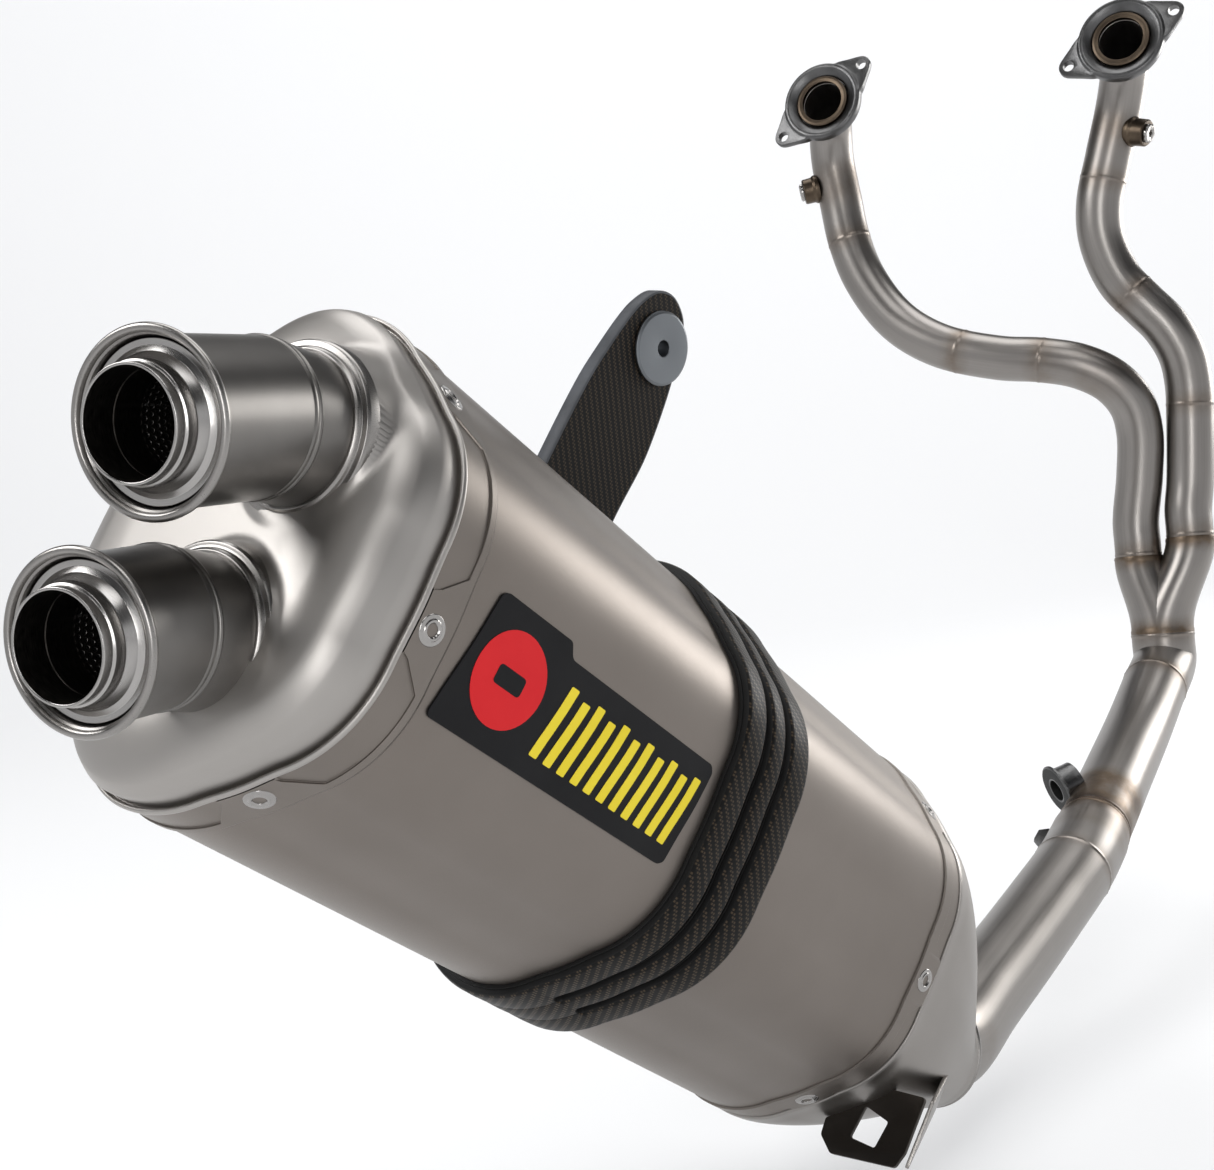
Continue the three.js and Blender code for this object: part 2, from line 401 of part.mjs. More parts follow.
const colOut = V(165.4, 600, -259), colDown = V(0, -0.12, -1).normalize();
const seam = V(143, 342.5, -363), seamDir = V(0.08, 0.97, 0.23).normalize();
const runPath = [along(slipC, slipA, -34), along(slipC, slipA, -20), along(slipC, slipA, -8), along(slipC, slipA, 3), V(102.4, 62, -418.6), V(108.4, 114.2, -411.3), V(118, 174.5, -401), V(128.5, 235, -388.5), V(138.5, 290, -375.5), seam,
  V(148, 420, -343.5), V(154, 500, -321.5), V(160, 555, -300), along(colOut, colDown, 22), along(colOut, colDown, 10), along(colOut, colDown, 0.8)];
const run = (r, ri) => swept(runPath, r, ri, 12, 22);
const half = (d, sign) => rod(along(seam, seamDir, d), along(seam, seamDir, d + sign * 700), 600, 8);
put(group, 'link_pipe', cut(run(LINK_R, LINK_R - LINK_T), half(-0.25, 1)), M.tube);
put(group, 'mid_pipe', cut(run(MID_R, MID_R - LINK_T), half(0.25, -1)), M.tube);

// two-into-one collector
const legL = V(150.0, 612, -194), legR = V(192.8, 615, -181);
const legShape = (a, r0, r1, grow) => {
  const end = colOut.clone(), down = colDown;
  const rings = [];
  for (let i = 0; i <= 4; i++) {
    const k = i / 4, s = k * k * (3 - 2 * k);
    const c = V(a.x + (end.x - a.x) * s, a.y + (end.y - a.y) * k, a.z + (end.z - a.z) * k);
    rings.push(circleRing(c, down, (r0 + (r1 - r0) * k) + grow, 16));
  }
  if (grow < 0) { rings.unshift(rings[0].map((q) => q.clone().add(V(0, 0, 8)))); rings.push(rings.at(-1).map((q) => q.clone().add(V(0, 0, -8)))); }
  return loft(rings);
};
const collector = cut(join(legShape(legL, 19.6, MID_R, 0), legShape(legR, 19.6, MID_R, 0)),
  legShape(legL, 19.6, MID_R, -1.4), legShape(legR, 19.6, MID_R, -1.4));
put(group, 'collector', collector, M.tube);

// primaries
const PORT_L = V(-72.9, 575, 229.8), PORT_R = V(180.7, 575, 228.9);
const PORT_AXIS = V(0, 0.966, -0.259).normalize();   // from the gasket face into the pipe
const leftPath = [along(PORT_L, PORT_AXIS, 7.5), along(PORT_L, PORT_AXIS, 14), along(PORT_L, PORT_AXIS, 22), V(-79, 612, 208), V(-83, 622, 183), V(-80, 623, 148), V(-75, 620, 111), V(-63, 616, 74),
  V(-36, 610, 33), V(1, 604, 6), V(53, 600, -12), V(88, 600, -18.5), V(119, 602, -28), V(143, 608, -44), V(156.4, 614, -65), V(160, 617, -89), V(156.5, 617.5, -125), along(legL, colDown, -30), along(legL, colDown, -12), along(legL, colDown, -2.2)];
const rightPath = [along(PORT_R, PORT_AXIS, 7.5), along(PORT_R, PORT_AXIS, 14), along(PORT_R, PORT_AXIS, 22), V(176, 613, 208), V(168, 623, 183), V(155, 624, 143), V(144.5, 622, 106), V(144, 621, 76), V(155, 620, 41),
  V(171, 620, 19), V(188, 622, -3), V(198.5, 625, -27), V(201.5, 627, -52), V(200, 626, -85), V(196, 622, -135), along(legR, colDown, -22), along(legR, colDown, -10), along(legR, colDown, -1.2)];
put(group, 'primary_left', swept(leftPath, PRIM_R, PRIM_R - PRIM_T, 10, 26), M.tube);
put(group, 'primary_right', swept(rightPath, PRIM_R, PRIM_R - PRIM_T, 10, 24), M.tube);

// port ferrules (gasket seats) welded to the primaries and loose two-ear flanges round them
const ferrule = (c) => turned([[PRIM_R + 1.0, 13], [PRIM_R + 1.0, 7], [17.6, 4.5], [17.6, 1.5], [22.6, 1.5], [22.6, 5.5], [21.6, 7], [21.6, 13]], c, PORT_AXIS, 16);
put(group, 'port_ferrule_left', ferrule(PORT_L), M.flange);
put(group, 'port_ferrule_right', ferrule(PORT_R), M.flange);
const FLANGE_T = 10;
const STUD = 44.5;   // half the stud spacing
function flange(c, tilt) {
  const [, y] = frameOf(PORT_AXIS);
  const u = V(1, 0, 0), w = u.clone().cross(y).normalize();   // w is up in the gasket plane
  const outline = [];
  const body = 34, ear = 8;
  outline.push(...arc(STUD, 0, ear, -70, 70, 5));
  outline.push(...arc(0, 0, body, 32, 148, 8));
  outline.push(...arc(-STUD, 0, ear, 110, 250, 5));
  outline.push(...arc(0, 0, body, 212, 328, 8));
  const ca = Math.cos(tilt), sa = Math.sin(tilt);
  const rot = ([a, b]) => [a * ca - b * sa, a * sa + b * ca];
  const hole = (x, r, n) => arc(x, 0, r, 0, 360 - 360 / n, n - 1).map(rot);
  // plate from the gasket face, with a step that holds the ferrule's collar
  return plate(outline.map(rot), FLANGE_T, along(c, PORT_AXIS, FLANGE_T), u, w.clone(), [hole(0, 22.2, 20), hole(STUD, 4.4, 10), hole(-STUD, 4.4, 10)])
    .subtract(rod(along(c, PORT_AXIS, -2), along(c, PORT_AXIS, 7.4), 23.2, 20));
}
const flangeL = flange(PORT_L, 0.62), flangeR = flange(PORT_R, 0.33);
put(group, 'port_flange_left', flangeL, M.flange);
put(group, 'port_flange_right', flangeR, M.flange);

// lambda bosses and plugs
function boss(name, at, dir, r, h0, h1, path, steps) {
  put(group, `lambda_boss_${name}`, turned([[6.2, h0 - 6], [r, h0 - 6], [r, h1], [6.2, h1]], at, dir, 14).subtract(swept(path, PRIM_R + 0.45, 0, 10, steps)), M.flange);
  put(group, `lambda_plug_${name}`, turned([[0, h1 - 7], [5.9, h1 - 7], [5.9, h1 + 0.3], [8, h1 + 0.3], [8, h1 + 3.2], [3, h1 + 3.2], [3, h1 + 0.6], [0, h1 + 0.6]], at, dir, 12), M.steel);
}
boss('left', V(-82, 622, 163), V(-0.93, -0.35, -0.12).normalize(), 11, PRIM_R + 0.4, PRIM_R + 11, leftPath, 26);
boss('right', V(161, 624, 165), V(0.93, -0.35, -0.31).normalize(), 11, PRIM_R + 0.4, PRIM_R + 13, rightPath, 24);

// mounting eye on the mid pipe and its stay
const eyeC = V(120.6, 373.3, -337.5), eyeA = V(0.75, 0.6, 0.28).normalize();
put(group, 'mid_mount_eye', turned([[8, -9], [19, -9], [19, -6.5], [15, -6.0], [15, 8], [8, 8]], eyeC, eyeA, 16).subtract(run(MID_R + 0.45, 0)), M.flange);
put(group, 'link_tab', plate([[-15, 27.7], [12, 27.7], [6, 34.5], [-7, 34.5]], 3, V(141, 316, -369.4).addScaledVector(V(0.242, -0.242, 0.94), -1.5), V(0.083, 0.969, 0.231).normalize(), V(-0.966, 0.021, 0.257).normalize()), M.flange);

export default group;
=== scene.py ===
import bpy, bmesh, json, math
import numpy as np
from mathutils import Matrix, Vector


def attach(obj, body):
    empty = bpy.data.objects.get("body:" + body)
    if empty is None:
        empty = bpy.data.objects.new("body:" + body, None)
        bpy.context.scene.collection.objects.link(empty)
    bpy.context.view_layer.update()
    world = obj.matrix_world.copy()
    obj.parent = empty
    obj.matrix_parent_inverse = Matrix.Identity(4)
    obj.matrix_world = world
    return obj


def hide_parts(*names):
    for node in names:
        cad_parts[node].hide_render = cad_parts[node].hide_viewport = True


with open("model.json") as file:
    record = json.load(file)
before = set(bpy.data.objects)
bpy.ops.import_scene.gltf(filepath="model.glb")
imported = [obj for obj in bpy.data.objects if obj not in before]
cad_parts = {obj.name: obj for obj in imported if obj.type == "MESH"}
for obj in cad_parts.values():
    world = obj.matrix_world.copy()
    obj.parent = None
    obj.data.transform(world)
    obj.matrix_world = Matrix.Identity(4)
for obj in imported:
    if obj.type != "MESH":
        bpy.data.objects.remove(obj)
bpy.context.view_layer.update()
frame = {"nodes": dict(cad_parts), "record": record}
MM = 0.001
PI2 = 2 * math.pi

# ------------------------------------------------------------------ frames and dimensions
ROT = np.array([[0.92676, -0.33374, -0.17242], [0.17613, 0.79147, -0.58529], [0.33180, 0.51206, 0.79228]])
ORG = np.array([-34.12, -345.01, -77.01])
W = lambda p: ORG + np.asarray(p, float) @ ROT
WD = lambda d: np.asarray(d, float) @ ROT
unit = lambda v: np.asarray(v, float) / np.linalg.norm(v)

SEC_H, SEC_W, SEC_S, SEC_R = 121.0, 91.0, 54.0, 59.0
BULGE = 0.8
def exitY(d): return lambda x, z: -0.02 * x + 0.198 * (x + np.hypot(x, 10)) / 2 - 0.05 * z + d - 0.5
def inletY(d): return lambda x, z: 444 - 0.095 * x + 0.010 * z + d
def clampY(y): return lambda x, z: y - 0.035 * z
def faceY(d): return lambda x, z: -20.5 - 0.05 * z + 0.03 * x + d

def hexa(o=0.0, na=30, nf=20):
    """rounded hexagon grown by o: points, outward normals; anticlockwise seen from -y"""
    L = math.hypot(SEC_W, SEC_H - SEC_S)
    H = SEC_H + o * L / SEC_W
    Wd = SEC_W + o
    S = H - (SEC_H - SEC_S) / SEC_W * Wd
    R = max(SEC_R + o, 1.5)
    C = np.array([(0, H), (-Wd, S), (-Wd, -S), (0, -H), (Wd, -S), (Wd, S)], float)
    segs = []
    for i in range(6):
        p = C[i]; a = unit(C[(i + 5) % 6] - p); b = unit(C[(i + 1) % 6] - p)
        half = math.acos(np.clip(a @ b, -1, 1)) / 2
        t = R / math.tan(half)
        s = p + a * t; e = p + b * t
        c = p + unit(a + b) * R / math.sin(half)
        a0 = math.atan2(*(s - c)[::-1]); a1 = math.atan2(*(e - c)[::-1])
        da = math.atan2(math.sin(a1 - a0), math.cos(a1 - a0))
        segs.append((c, R, a0, da, s, e))
    P, Nn = [], []
    for i in range(6):
        c, R_, a0, da, s, e = segs[i]
        for k in range(na + 1):
            a = a0 + da * k / na
            n = np.array([math.cos(a), math.sin(a)])
            P.append(c + R_ * n); Nn.append(n)
        s2 = segs[(i + 1) % 6][4]
        n = np.array([math.cos(a0 + da), math.sin(a0 + da)])
        for k in range(1, nf):
            t = k / nf
            P.append(e + (s2 - e) * t + n * BULGE * math.sin(math.pi * t) ** 2); Nn.append(n)
    return np.array(P), np.array(Nn)

def arclen(P):
    d = np.linalg.norm(np.roll(P, -1, 0) - P, axis=1)
    return np.concatenate([[0], np.cumsum(d)[:-1]]), d.sum()

def hring(o, yf, na=30, nf=20):
    p, _ = hexa(o, na, nf)
    return np.stack([p[:, 0], yf(p[:, 0], p[:, 1]), p[:, 1]], 1)

def frame_of(axis):
    y = unit(axis)
    up = np.array([0, 0, 1.0]) if abs(y[2]) < 0.9 else np.array([1.0, 0, 0])
    x = unit(np.cross(up, y))
    return x, y, np.cross(x, y)

TIP_AXIS = unit([-0.334, 0.791, 0.512])
NECK_MID = unit([-0.2, 0.92, 0.33])
MOUTH = {"upper": np.array([60.9, -96.9, 3.7]), "lower": np.array([47.9, -71.9, -68.5])}
TIP_LEN = {"upper": 58.0, "lower": 40.0}
DAMPER_LEN = {"upper": 92.0, "lower": 72.0}
SEAM = {k: MOUTH[k] + TIP_AXIS * TIP_LEN[k] for k in MOUTH}
RING = {k: SEAM[k] + NECK_MID * 23 for k in MOUTH}
SLIP_C = np.array([52.0, 524, -26]); SLIP_AXIS = unit([0, 0.95, 0.3122])

# ------------------------------------------------------------------ materials
def nd(nt, kind, props=None, ins=None):
    n = nt.nodes.new(kind)
    for k, v in (props or {}).items(): setattr(n, k, v)
    for k, v in (ins or {}).items():
        s = n.inputs[k]
        if isinstance(v, bpy.types.NodeSocket): nt.links.new(v, s)
        else: s.default_value = v
    return n
def mth(nt, op, a, b=None, c=None, clamp=False):
    n = nt.nodes.new("ShaderNodeMath"); n.operation = op; n.use_clamp = clamp
    for i, v in enumerate((a, b, c)):
        if v is None: continue
        if isinstance(v, bpy.types.NodeSocket): nt.links.new(v, n.inputs[i])
        else: n.inputs[i].default_value = v
    return n.outputs[0]
def mix(nt, f, a, b):
    n = nt.nodes.new("ShaderNodeMix"); n.data_type = "RGBA"
    for i, v in ((0, f), (6, a), (7, b)):
        if isinstance(v, bpy.types.NodeSocket): nt.links.new(v, n.inputs[i])
        else: n.inputs[i].default_value = (tuple(v) + (1,))[:4] if i else v
    return n.outputs[2]
def rng(nt, v, a, b, c, d, smooth=False):
    n = nd(nt, "ShaderNodeMapRange", {"interpolation_type": "SMOOTHSTEP" if smooth else "LINEAR"}, {0: v, 1: a, 2: b, 3: c, 4: d})
    return n.outputs[0]
def attr(nt, name, out="Vector"):
    return nd(nt, "ShaderNodeAttribute", {"attribute_name": name}).outputs[out]
def scaled(nt, vec, s):
    return nd(nt, "ShaderNodeMapping", {"vector_type": "POINT"}, {"Vector": vec, "Scale": s}).outputs[0]
def noise(nt, vec, scale, detail=3.0, rough=0.55):
    return nd(nt, "ShaderNodeTexNoise", {}, {"Vector": vec, "Scale": scale, "Detail": detail, "Roughness": rough}).outputs[0]
def objco(nt):
    return nd(nt, "ShaderNodeTexCoord").outputs["Object"]
def material(name, rough=None, metallic=1.0):
    m = bpy.data.materials.new(name); m.use_nodes = True
    nt = m.node_tree; bs = nt.nodes["Principled BSDF"]
    bs.inputs["Metallic"].default_value = metallic
    if rough is not None: bs.inputs["Roughness"].default_value = rough
    m["bs"] = 1
    del m["bs"]
    return m, nt, bs
def put(nt, out, sock): nt.links.new(out, sock)

def metal(name, a, b, rough, dr=0.06, grain=2600.0, bump=0.10, streak=None, cloud=9.0, tint=None, deep=None, dist=0.0001):
    """satin metal: colours a..b by soft clouds, fine grain in the bump, optional streaks along "co" """
    m, nt, bs = material(name)
    oc = objco(nt)
    cl = noise(nt, oc, cloud, 4, 0.6)
    fine = noise(nt, oc, grain, 2, 0.5)
    f = rng(nt, cl, 0.3, 0.7, 0, 1)
    if streak:
        st = noise(nt, scaled(nt, attr(nt, "co"), streak), 1.0, 4, 0.65)
        f = mth(nt, "MULTIPLY_ADD", rng(nt, st, 0.3, 0.7, 0, 1), 0.6, mth(nt, "MULTIPLY", f, 0.4))
    col = mix(nt, f, a, b)
    if tint:
        t = attr(nt, "tint", "Fac")
        n2 = noise(nt, oc, 55.0, 4, 0.6)
        tt = mth(nt, "MULTIPLY", t, rng(nt, n2, 0.3, 0.7, 0.55, 1.25), clamp=True)
        col = mix(nt, rng(nt, tt, 0.05, 0.55, 0, 0.85), col, tint[0])
        col = mix(nt, rng(nt, tt, 0.55, 1.0, 0, 0.85), col, tint[1])
    if deep:   # darker along the vehicle's y axis, mixing towards near-black
        yy = nd(nt, "ShaderNodeSeparateXYZ", {}, {0: oc}).outputs[1]
        col = mix(nt, rng(nt, yy, deep[0], deep[1], 0, 1, True), col, (0.02, 0.018, 0.016))
    put(nt, col, bs.inputs["Base Color"])
    r = rng(nt, f if streak else fine, 0.2, 0.8, rough - dr, rough + dr)
    if tint: r = mth(nt, "MULTIPLY_ADD", attr(nt, "tint", "Fac"), 0.12, r)
    put(nt, r, bs.inputs["Roughness"])
    h = fine
    if streak: h = mth(nt, "MULTIPLY_ADD", st, 0.8, mth(nt, "MULTIPLY", fine, 0.3))
    bp = nd(nt, "ShaderNodeBump", {}, {"Strength": bump, "Distance": dist, "Height": h})
    put(nt, bp.outputs[0], bs.inputs["Normal"])
    return m

M_SLEEVE = metal("titanium_sleeve", (0.185, 0.163, 0.145), (0.225, 0.200, 0.180), 0.42, 0.05, 2400, 0.16, cloud=6.0)
M_BAND = metal("titanium_band", (0.180, 0.160, 0.143), (0.218, 0.195, 0.176), 0.41, 0.05, 2400, 0.14, cloud=7.0)
M_CAP = metal("cap_satin", (0.365, 0.347, 0.329), (0.405, 0.386, 0.368), 0.42, 0.03, 2600, 0.10, cloud=5.0)
M_CAPIN = metal("inlet_cap_satin", (0.27, 0.254, 0.239), (0.32, 0.303, 0.287), 0.36, 0.03, 2400, 0.10, cloud=8.0)
M_TIP = metal("outlet_satin", (0.150, 0.143, 0.135), (0.188, 0.180, 0.171), 0.35, 0.03, 3000, 0.08, cloud=14.0)
M_RIM = metal("outlet_rim", (0.25, 0.239, 0.228), (0.31, 0.297, 0.285), 0.29, 0.03, 2500, 0.05)
M_POL = metal("polished", (0.34, 0.329, 0.318), (0.41, 0.398, 0.386), 0.245, 0.03, 2500, 0.04, streak=(0.12, 0.12, 1.2))
M_TUBE = metal("tube_brushed", (0.225, 0.211, 0.198), (0.275, 0.259, 0.245), 0.34, 0.03, 1500, 0.035, streak=(1.2, 1.2, 0.010),
               tint=((0.125, 0.086, 0.054), (0.046, 0.033, 0.026)))
M_WELD = metal("weld_bead", (0.45, 0.40, 0.35), (0.62, 0.58, 0.54), 0.33, 0.08, 900, 0.3)
M_CAST = metal("cast_flange", (0.072, 0.072, 0.073), (0.135, 0.134, 0.134), 0.34, 0.06, 700, 0.35, cloud=30.0, dist=0.0003)
M_FAST = metal("fastener", (0.30, 0.29, 0.28), (0.38, 0.368, 0.356), 0.24, 0.04, 2500, 0.06)
M_ALLOY = metal("anodised_alloy", (0.155, 0.166, 0.178), (0.185, 0.197, 0.209), 0.42, 0.05, 2600, 0.12)
M_DARKBR = metal("bracket_dark", (0.045, 0.040, 0.036), (0.075, 0.066, 0.058), 0.36, 0.06, 1800, 0.2)
M_GRAPH = metal("graphite", (0.05, 0.05, 0.052), (0.09, 0.09, 0.093), 0.6, 0.08, 1200, 0.5)
M_FERR = metal("ferrule_heat", (0.058, 0.044, 0.033), (0.11, 0.084, 0.060), 0.38, 0.08, 900, 0.3, cloud=40.0)

def bore_metal():
    """sooty drawn tube with a band of small perforations further in; the perforations are painted near-black dots,
    painted shade in place of open holes
    """
    m, nt, bs = material("damper_bore")
    co = attr(nt, "co")                       # angle*r, angle, depth in mm
    sx = nd(nt, "ShaderNodeSeparateXYZ", {}, {0: co})
    st = noise(nt, scaled(nt, co, (0.25, 0.0, 1.6)), 1.0, 4, 0.6)
    col = mix(nt, rng(nt, st, 0.3, 0.7, 0, 1), (0.045, 0.04, 0.036), (0.12, 0.11, 0.10))
    row = mth(nt, "DIVIDE", sx.outputs[2], 2.4)
    ri = mth(nt, "FLOOR", row)
    u = mth(nt, "ADD", mth(nt, "DIVIDE", sx.outputs[0], 2.6), mth(nt, "MULTIPLY", mth(nt, "MODULO", ri, 2.0), 0.5))
    du = mth(nt, "SUBTRACT", mth(nt, "FRACT", u), 0.5)
    dv = mth(nt, "SUBTRACT", mth(nt, "FRACT", row), 0.5)
    rr = mth(nt, "SQRT", mth(nt, "ADD", mth(nt, "MULTIPLY", du, du), mth(nt, "MULTIPLY", dv, dv)))
    hole = rng(nt, rr, 0.26, 0.36, 1, 0)
    perforation_shade_mask = mth(nt, "MULTIPLY", rng(nt, sx.outputs[2], 27.5, 28.5, 0, 1), hole)
    # perforations painted near-black: painted shade standing in for the dark cavity behind open holes
    col = mix(nt, perforation_shade_mask, col, (0.002, 0.002, 0.002))
    put(nt, col, bs.inputs["Base Color"])
    put(nt, rng(nt, st, 0.3, 0.7, 0.26, 0.42), bs.inputs["Roughness"])
    put(nt, rng(nt, perforation_shade_mask, 0, 1, 1.0, 0.0), bs.inputs["Metallic"])
    hh = mth(nt, "MULTIPLY_ADD", perforation_shade_mask, -1.0, mth(nt, "MULTIPLY", st, 0.15))
    bp = nd(nt, "ShaderNodeBump", {}, {"Strength": 0.6, "Distance": 0.0005, "Height": hh})
    put(nt, bp.outputs[0], bs.inputs["Normal"])
    return m
M_BORE = bore_metal()

def carbon():
    """2x2 twill from the surface coordinates "co" (mm), with painted highlights as brownish dots on the warp tows"""
    m, nt, bs = material("carbon_twill", metallic=0.0)
    s = nd(nt, "ShaderNodeSeparateXYZ", {}, {0: attr(nt, "co")})
    p = 1.45
    a = mth(nt, "DIVIDE", s.outputs[0], p); b = mth(nt, "DIVIDE", s.outputs[1], p)
    fa, fb = mth(nt, "FLOOR", a), mth(nt, "FLOOR", b)
    md = mth(nt, "MODULO", mth(nt, "ADD", mth(nt, "ADD", fa, fb), 4000.0), 4.0)
    warp = mth(nt, "LESS_THAN", md, 1.5)
    ca = mth(nt, "ABSOLUTE", mth(nt, "SUBTRACT", mth(nt, "FRACT", a), 0.5))
    cb = mth(nt, "ABSOLUTE", mth(nt, "SUBTRACT", mth(nt, "FRACT", b), 0.5))
    dot = mth(nt, "MULTIPLY", rng(nt, ca, 0.18, 0.46, 1, 0, True), rng(nt, cb, 0.1, 0.5, 1, 0.15, True))
    fib = noise(nt, scaled(nt, attr(nt, "co"), (0.5, 9.0, 1.0)), 1.0, 2, 0.5)
    tow_glint_mask = mth(nt, "MULTIPLY", mth(nt, "MULTIPLY", warp, dot), rng(nt, fib, 0.3, 0.7, 0.6, 1.2))
    # the brownish dots on the warp tows are painted highlights: glints of the weave catching the light, painted into
    # the base colour
    col = mix(nt, tow_glint_mask, (0.004, 0.0039, 0.0037), (0.060, 0.043, 0.028))
    put(nt, col, bs.inputs["Base Color"])
    put(nt, rng(nt, tow_glint_mask, 0, 1, 0.50, 0.38), bs.inputs["Roughness"])
    hh = mth(nt, "MULTIPLY_ADD", warp, 0.5, mth(nt, "MULTIPLY", dot, 0.5))
    bp = nd(nt, "ShaderNodeBump", {}, {"Strength": 0.18, "Distance": 0.00012, "Height": hh})
    put(nt, bp.outputs[0], bs.inputs["Normal"])
    bs.inputs["Specular IOR Level"].default_value = 0.12
    bs.inputs["Coat Weight"].default_value = 0.02
    bs.inputs["Coat Roughness"].default_value = 0.25
    return m
M_CARBON = carbon()

def matte(name, a, b, rough, grain=900.0, bump=0.3, spec=0.2, cloud=25.0):
    m, nt, bs = material(name, metallic=0.0)
    oc = objco(nt)
    f = noise(nt, oc, cloud, 4, 0.6); g = noise(nt, oc, grain, 2, 0.5)
    put(nt, mix(nt, rng(nt, f, 0.3, 0.7, 0, 1), a, b), bs.inputs["Base Color"])
    put(nt, rng(nt, g, 0.2, 0.8, rough - 0.06, rough + 0.06), bs.inputs["Roughness"])
    bp = nd(nt, "ShaderNodeBump", {}, {"Strength": bump, "Distance": 0.0001, "Height": g})
    put(nt, bp.outputs[0], bs.inputs["Normal"])
    bs.inputs["Specular IOR Level"].default_value = spec
    return m
M_RUBBER = matte("rubber_black", (0.006, 0.006, 0.006), (0.014, 0.014, 0.014), 0.5)
M_EDGE = matte("carbon_edge_grey", (0.055, 0.058, 0.064), (0.095, 0.10, 0.11), 0.5, 500, 0.5, cloud=45.0)
M_LABEL = matte("label_black", (0.007, 0.007, 0.008), (0.011, 0.011, 0.012), 0.45, 1500, 0.10, 0.12)
M_RED = matte("label_red", (0.60, 0.012, 0.018), (0.66, 0.018, 0.022), 0.45, 1500, 0.06, 0.15)
M_YEL = matte("label_yellow", (0.78, 0.62, 0.030), (0.83, 0.67, 0.045), 0.45, 1500, 0.06, 0.15)
M_WOOL = matte("glass_wool", (0.55, 0.50, 0.33), (0.70, 0.66, 0.48), 0.9, 400, 1.0)
# near-black used to paint the shade inside rivet holes: painted shade, not a material of the rivet
M_PAINTED_SHADE = matte("painted_shade_black", (0.004, 0.004, 0.004), (0.009, 0.008, 0.008), 0.7)

# ------------------------------------------------------------------ mesh building
BODIES = frame["record"]["behaviour"]["bodies"]
def faces(n, m, cu, cv, base=0):
    i = np.arange(n if cu else n - 1); j = np.arange(m if cv else m - 1)
    I, J = np.meshgrid(i, j, indexing="ij")
    return np.stack([I * m + J, I * m + (J + 1) % m, ((I + 1) % n) * m + (J + 1) % m, ((I + 1) % n) * m + J], -1).reshape(-1, 4) + base

def add(name, V, F, body, mats, rep=(), co=None, tint=None, angle=38, recalc=True, fmat=None, ngons=()):
    me = bpy.data.meshes.new(name)
    me.from_pydata((np.asarray(V) * MM).tolist(), [], [list(map(int, f)) for f in F] + [list(map(int, f)) for f in ngons])
    if recalc:
        bm = bmesh.new(); bm.from_mesh(me)
        bmesh.ops.recalc_face_normals(bm, faces=bm.faces)
        bm.to_mesh(me); bm.free()
    mats = mats if isinstance(mats, (list, tuple)) else [mats]
    for m in mats: me.materials.append(m)
    if fmat is not None: me.polygons.foreach_set("material_index", np.asarray(fmat, dtype=np.int32))
    me.polygons.foreach_set("use_smooth", np.ones(len(me.polygons), dtype=bool))
    me.set_sharp_from_angle(angle=math.radians(angle))
    if co is not None:
        a = me.attributes.new("co", "FLOAT_VECTOR", "POINT"); a.data.foreach_set("vector", np.asarray(co, dtype=np.float32).ravel())
    if tint is not None:
        a = me.attributes.new("tint", "FLOAT", "POINT"); a.data.foreach_set("value", np.asarray(tint, dtype=np.float32).ravel())
    me.update()
    ob = bpy.data.objects.new(name, me)
    bpy.context.scene.collection.objects.link(ob)
    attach(ob, body)
    if rep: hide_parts(*rep)
    return ob

def shell(name, rings, body, mats, rep=(), closed=True, co=None, tint=None, angle=38, muf=True, fmat=None):
    R = np.asarray(rings, float); K, N, _ = R.shape
    V = W(R.reshape(-1, 3)) if muf else R.reshape(-1, 3)
    return add(name, V, faces(K, N, closed, True), body, mats, rep, co, tint, angle, fmat=fmat)

def rounded(pts, n=3):
    """closed profile of (r, d[, corner radius]) with rounded corners"""
    out = []
    m = len(pts)
    for i in range(m):
        p = np.array(pts[i][:2], float); rad = pts[i][2] if len(pts[i]) > 2 else 0.0
        a = np.array(pts[i - 1][:2], float) - p; b = np.array(pts[(i + 1) % m][:2], float) - p
        la, lb = np.linalg.norm(a), np.linalg.norm(b)
        if rad <= 0 or la < 1e-6 or lb < 1e-6: out.append(p); continue
        a, b = a / la, b / lb
        half = math.acos(np.clip(a @ b, -1, 1)) / 2
        t = min(rad / max(math.tan(half), 1e-3), la * 0.48, lb * 0.48)
        q0, q1 = p + a * t, p + b * t
        for k in range(n + 1):
            u = k / n
            out.append((1 - u) ** 2 * q0 + 2 * u * (1 - u) * p + u ** 2 * q1)
    return np.array(out)

def lathe(name, prof, c, axis, body, mats, rep=(), seg=96, muf=True, n=3, angle=38, cut=None, matf=None, wob=None):
    """closed turned ring; cut = (plane point, plane normal) moves far rows onto a plane along the axis"""
    P = rounded(prof, n)
    x, y, z = frame_of(axis)
    th = np.arange(seg) * PI2 / seg
    r = np.repeat(P[:, 0][:, None], seg, 1); d = np.repeat(P[:, 1][:, None], seg, 1)
    if wob: r = r + wob(th, d)
    dirs = np.cos(th)[:, None] * x + np.sin(th)[:, None] * z
    pos = np.asarray(c) + r[..., None] * dirs[None] + d[..., None] * y
    if cut is not None:
        q, nrm, dmin = cut
        far = P[:, 1] >= dmin
        for k in np.nonzero(far)[0]:
            base = np.asarray(c) + r[k][:, None] * dirs + 0 * y
            t = ((q - base) @ nrm) / (y @ nrm)
            pos[k] = base + (t + (P[k, 1] - dmin))[:, None] * y
    V = pos.reshape(-1, 3)
    co = np.stack([np.repeat((th * 20)[None], len(P), 0), r, d], -1).reshape(-1, 3)
    co[:, 0] = (np.cos(np.tile(th, len(P))) * 20); co[:, 1] = (np.sin(np.tile(th, len(P))) * 20)
    fm = None
    if matf: fm = np.repeat([matf(*((P[i] + P[(i + 1) % len(P)]) / 2)) for i in range(len(P))], seg)
    if muf: V = W(V)
    return add(name, V, faces(len(P), seg, True, True), body, mats, rep, co, angle=angle, fmat=fm)

